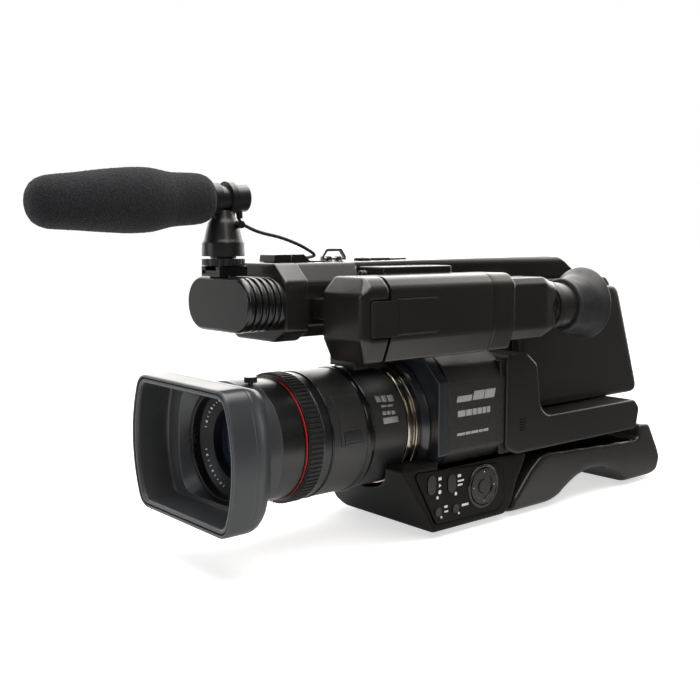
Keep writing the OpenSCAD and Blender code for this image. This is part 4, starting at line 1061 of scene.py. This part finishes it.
floor_mesh = bpy.data.meshes.new("floor")
bm = bmesh.new()
bmesh.ops.create_grid(bm, x_segments=8, y_segments=8, size=30.0)
bm.to_mesh(floor_mesh)
bm.free()
floor = bpy.data.objects.new("floor", floor_mesh)
bpy.context.scene.collection.objects.link(floor)
floor.location = (0, 0, -0.0005)
fm = Net("floor_paper")
ground = fm.vector("MULTIPLY", fm.coord, (1.0, 1.0, 0.0))
spread = fm.vector("LENGTH", ground, (0.0, 0.0, 0.0), "Value")
beyond = fm.vector("DOT_PRODUCT", ground, (look.x, look.y, 0.0), "Value")
sideways = fm.vector("DOT_PRODUCT", ground, (-look.x, look.y, 0.0), "Value")
along = fm.node("ShaderNodeSeparateXYZ", {0: ground}).outputs[1]
rays_seen = fm.node("ShaderNodeLightPath")
mirror_ray, camera_ray = rays_seen.outputs["Is Glossy Ray"], rays_seen.outputs["Is Camera Ray"]
far = fm.math("MULTIPLY", fm.remap(spread, 0.55, 1.1, 0.0, 1.0), fm.remap(beyond, -0.05, 0.45, 1.0, 0.0))
glow = fm.math("MULTIPLY", camera_ray, fm.math("ADD", FLOOR_GLOW, fm.math("MULTIPLY", far, FLOOR_GLOW_FAR)))
# painted shade: for glossy rays the floor beside the object is dark, so the upright left faces mirror a shade
# that no table edge casts
side_mirror_shade = fm.math("MULTIPLY", fm.remap(sideways, 0.08, 0.30, 0.0, 0.9),
                    fm.remap(along, -0.14, 0.04, 0.2, 1.0))
mirrored_shade = fm.math("MULTIPLY", mirror_ray, side_mirror_shade)
# painted reflection: outside that dark area the floor glows for glossy rays
glow = fm.math("ADD", glow, fm.math("MULTIPLY", fm.math("SUBTRACT", mirror_ray, mirrored_shade), FLOOR_MIRROR_GLOW))
paper = fm.mix(mirrored_shade, fm.mix(far, PAPER, DARK_PAPER), DARK_PAPER)
floor_mesh.materials.append(fm.set(base=paper, rough=0.8, spec=0.1, emit=WHITE, emit_strength=glow,
                                   normal=fm.bump(fm.noise(2.0), 0.01)))

world = bpy.data.worlds.new("studio")
bpy.context.scene.world = world
world.use_nodes = True
wt = world.node_tree
wt.nodes.clear()


def wnode(kind, ins=None, **props):
    """A node of the world, as Net.node for a material."""
    n = wt.nodes.new(kind)
    for k, v in props.items():
        setattr(n, k, v)
    for k, v in (ins or {}).items():
        if isinstance(v, bpy.types.NodeSocket):
            wt.links.new(v, n.inputs[k])
        else:
            n.inputs[k].default_value = v
    return n


def ramp(value, lo, hi):
    ins = {"Value": value, "From Min": lo, "From Max": hi, "To Min": 0.0, "To Max": 1.0}
    return wnode("ShaderNodeMapRange", ins, interpolation_type="SMOOTHSTEP").outputs[0]


def blended(fac, a, b):
    ins = {"Factor": fac}
    for key, v in ((6, a), (7, b)):
        ins[key] = v if isinstance(v, bpy.types.NodeSocket) else (*v, 1.0)
    return wnode("ShaderNodeMix", ins, data_type="RGBA").outputs[2]


direction = wnode("ShaderNodeTexCoord").outputs["Generated"]
away = wnode("ShaderNodeVectorMath", {0: direction, 1: (look.x, look.y, 0.0)},
             operation="DOT_PRODUCT").outputs["Value"]
height = wnode("ShaderNodeSeparateXYZ", {0: direction}).outputs[2]
rays = wnode("ShaderNodeLightPath")
behind = ramp(away, 0.1, 0.75)                     # the white sweep behind the object, as the camera sees it
room = blended(ramp(height, 0.2, 0.9), LOW_ROOM, HIGH_ROOM)
mirrored = blended(behind, room, SWEEP_MIRRORED)
soft = blended(behind, ROOM_SOFT, SWEEP_SOFT)
lit = blended(rays.outputs["Is Diffuse Ray"], mirrored, soft)
shown = blended(rays.outputs["Is Camera Ray"], lit, WHITE)
background = wnode("ShaderNodeBackground", {"Color": shown, "Strength": 1.0})
wt.links.new(background.outputs[0], wnode("ShaderNodeOutputWorld").inputs["Surface"])

for name, place, target, width, tall, watts, colour in LIGHTS:
    lamp = bpy.data.lights.new(name, "AREA")
    lamp.energy = watts
    lamp.color = colour
    lamp.shape = "RECTANGLE"
    lamp.size, lamp.size_y = width, tall
    obj = bpy.data.objects.new(name, lamp)
    bpy.context.scene.collection.objects.link(obj)
    obj.location = place
    obj.rotation_euler = (Vector(target) - Vector(place)).to_track_quat("-Z", "Y").to_euler()

camera_data = bpy.data.cameras.new("camera")
camera = bpy.data.objects.new("camera", camera_data)
bpy.context.scene.collection.objects.link(camera)
camera_data.sensor_width = CAMERA_SENSOR
camera_data.lens = CAMERA_LENS
camera_data.clip_start = 0.01
camera.location = at(*CAMERA_AT)
camera.rotation_mode = "QUATERNION"
camera.rotation_quaternion = look.to_track_quat("-Z", "Y")
bpy.context.scene.camera = camera
bpy.context.scene.view_settings.view_transform = "Standard"
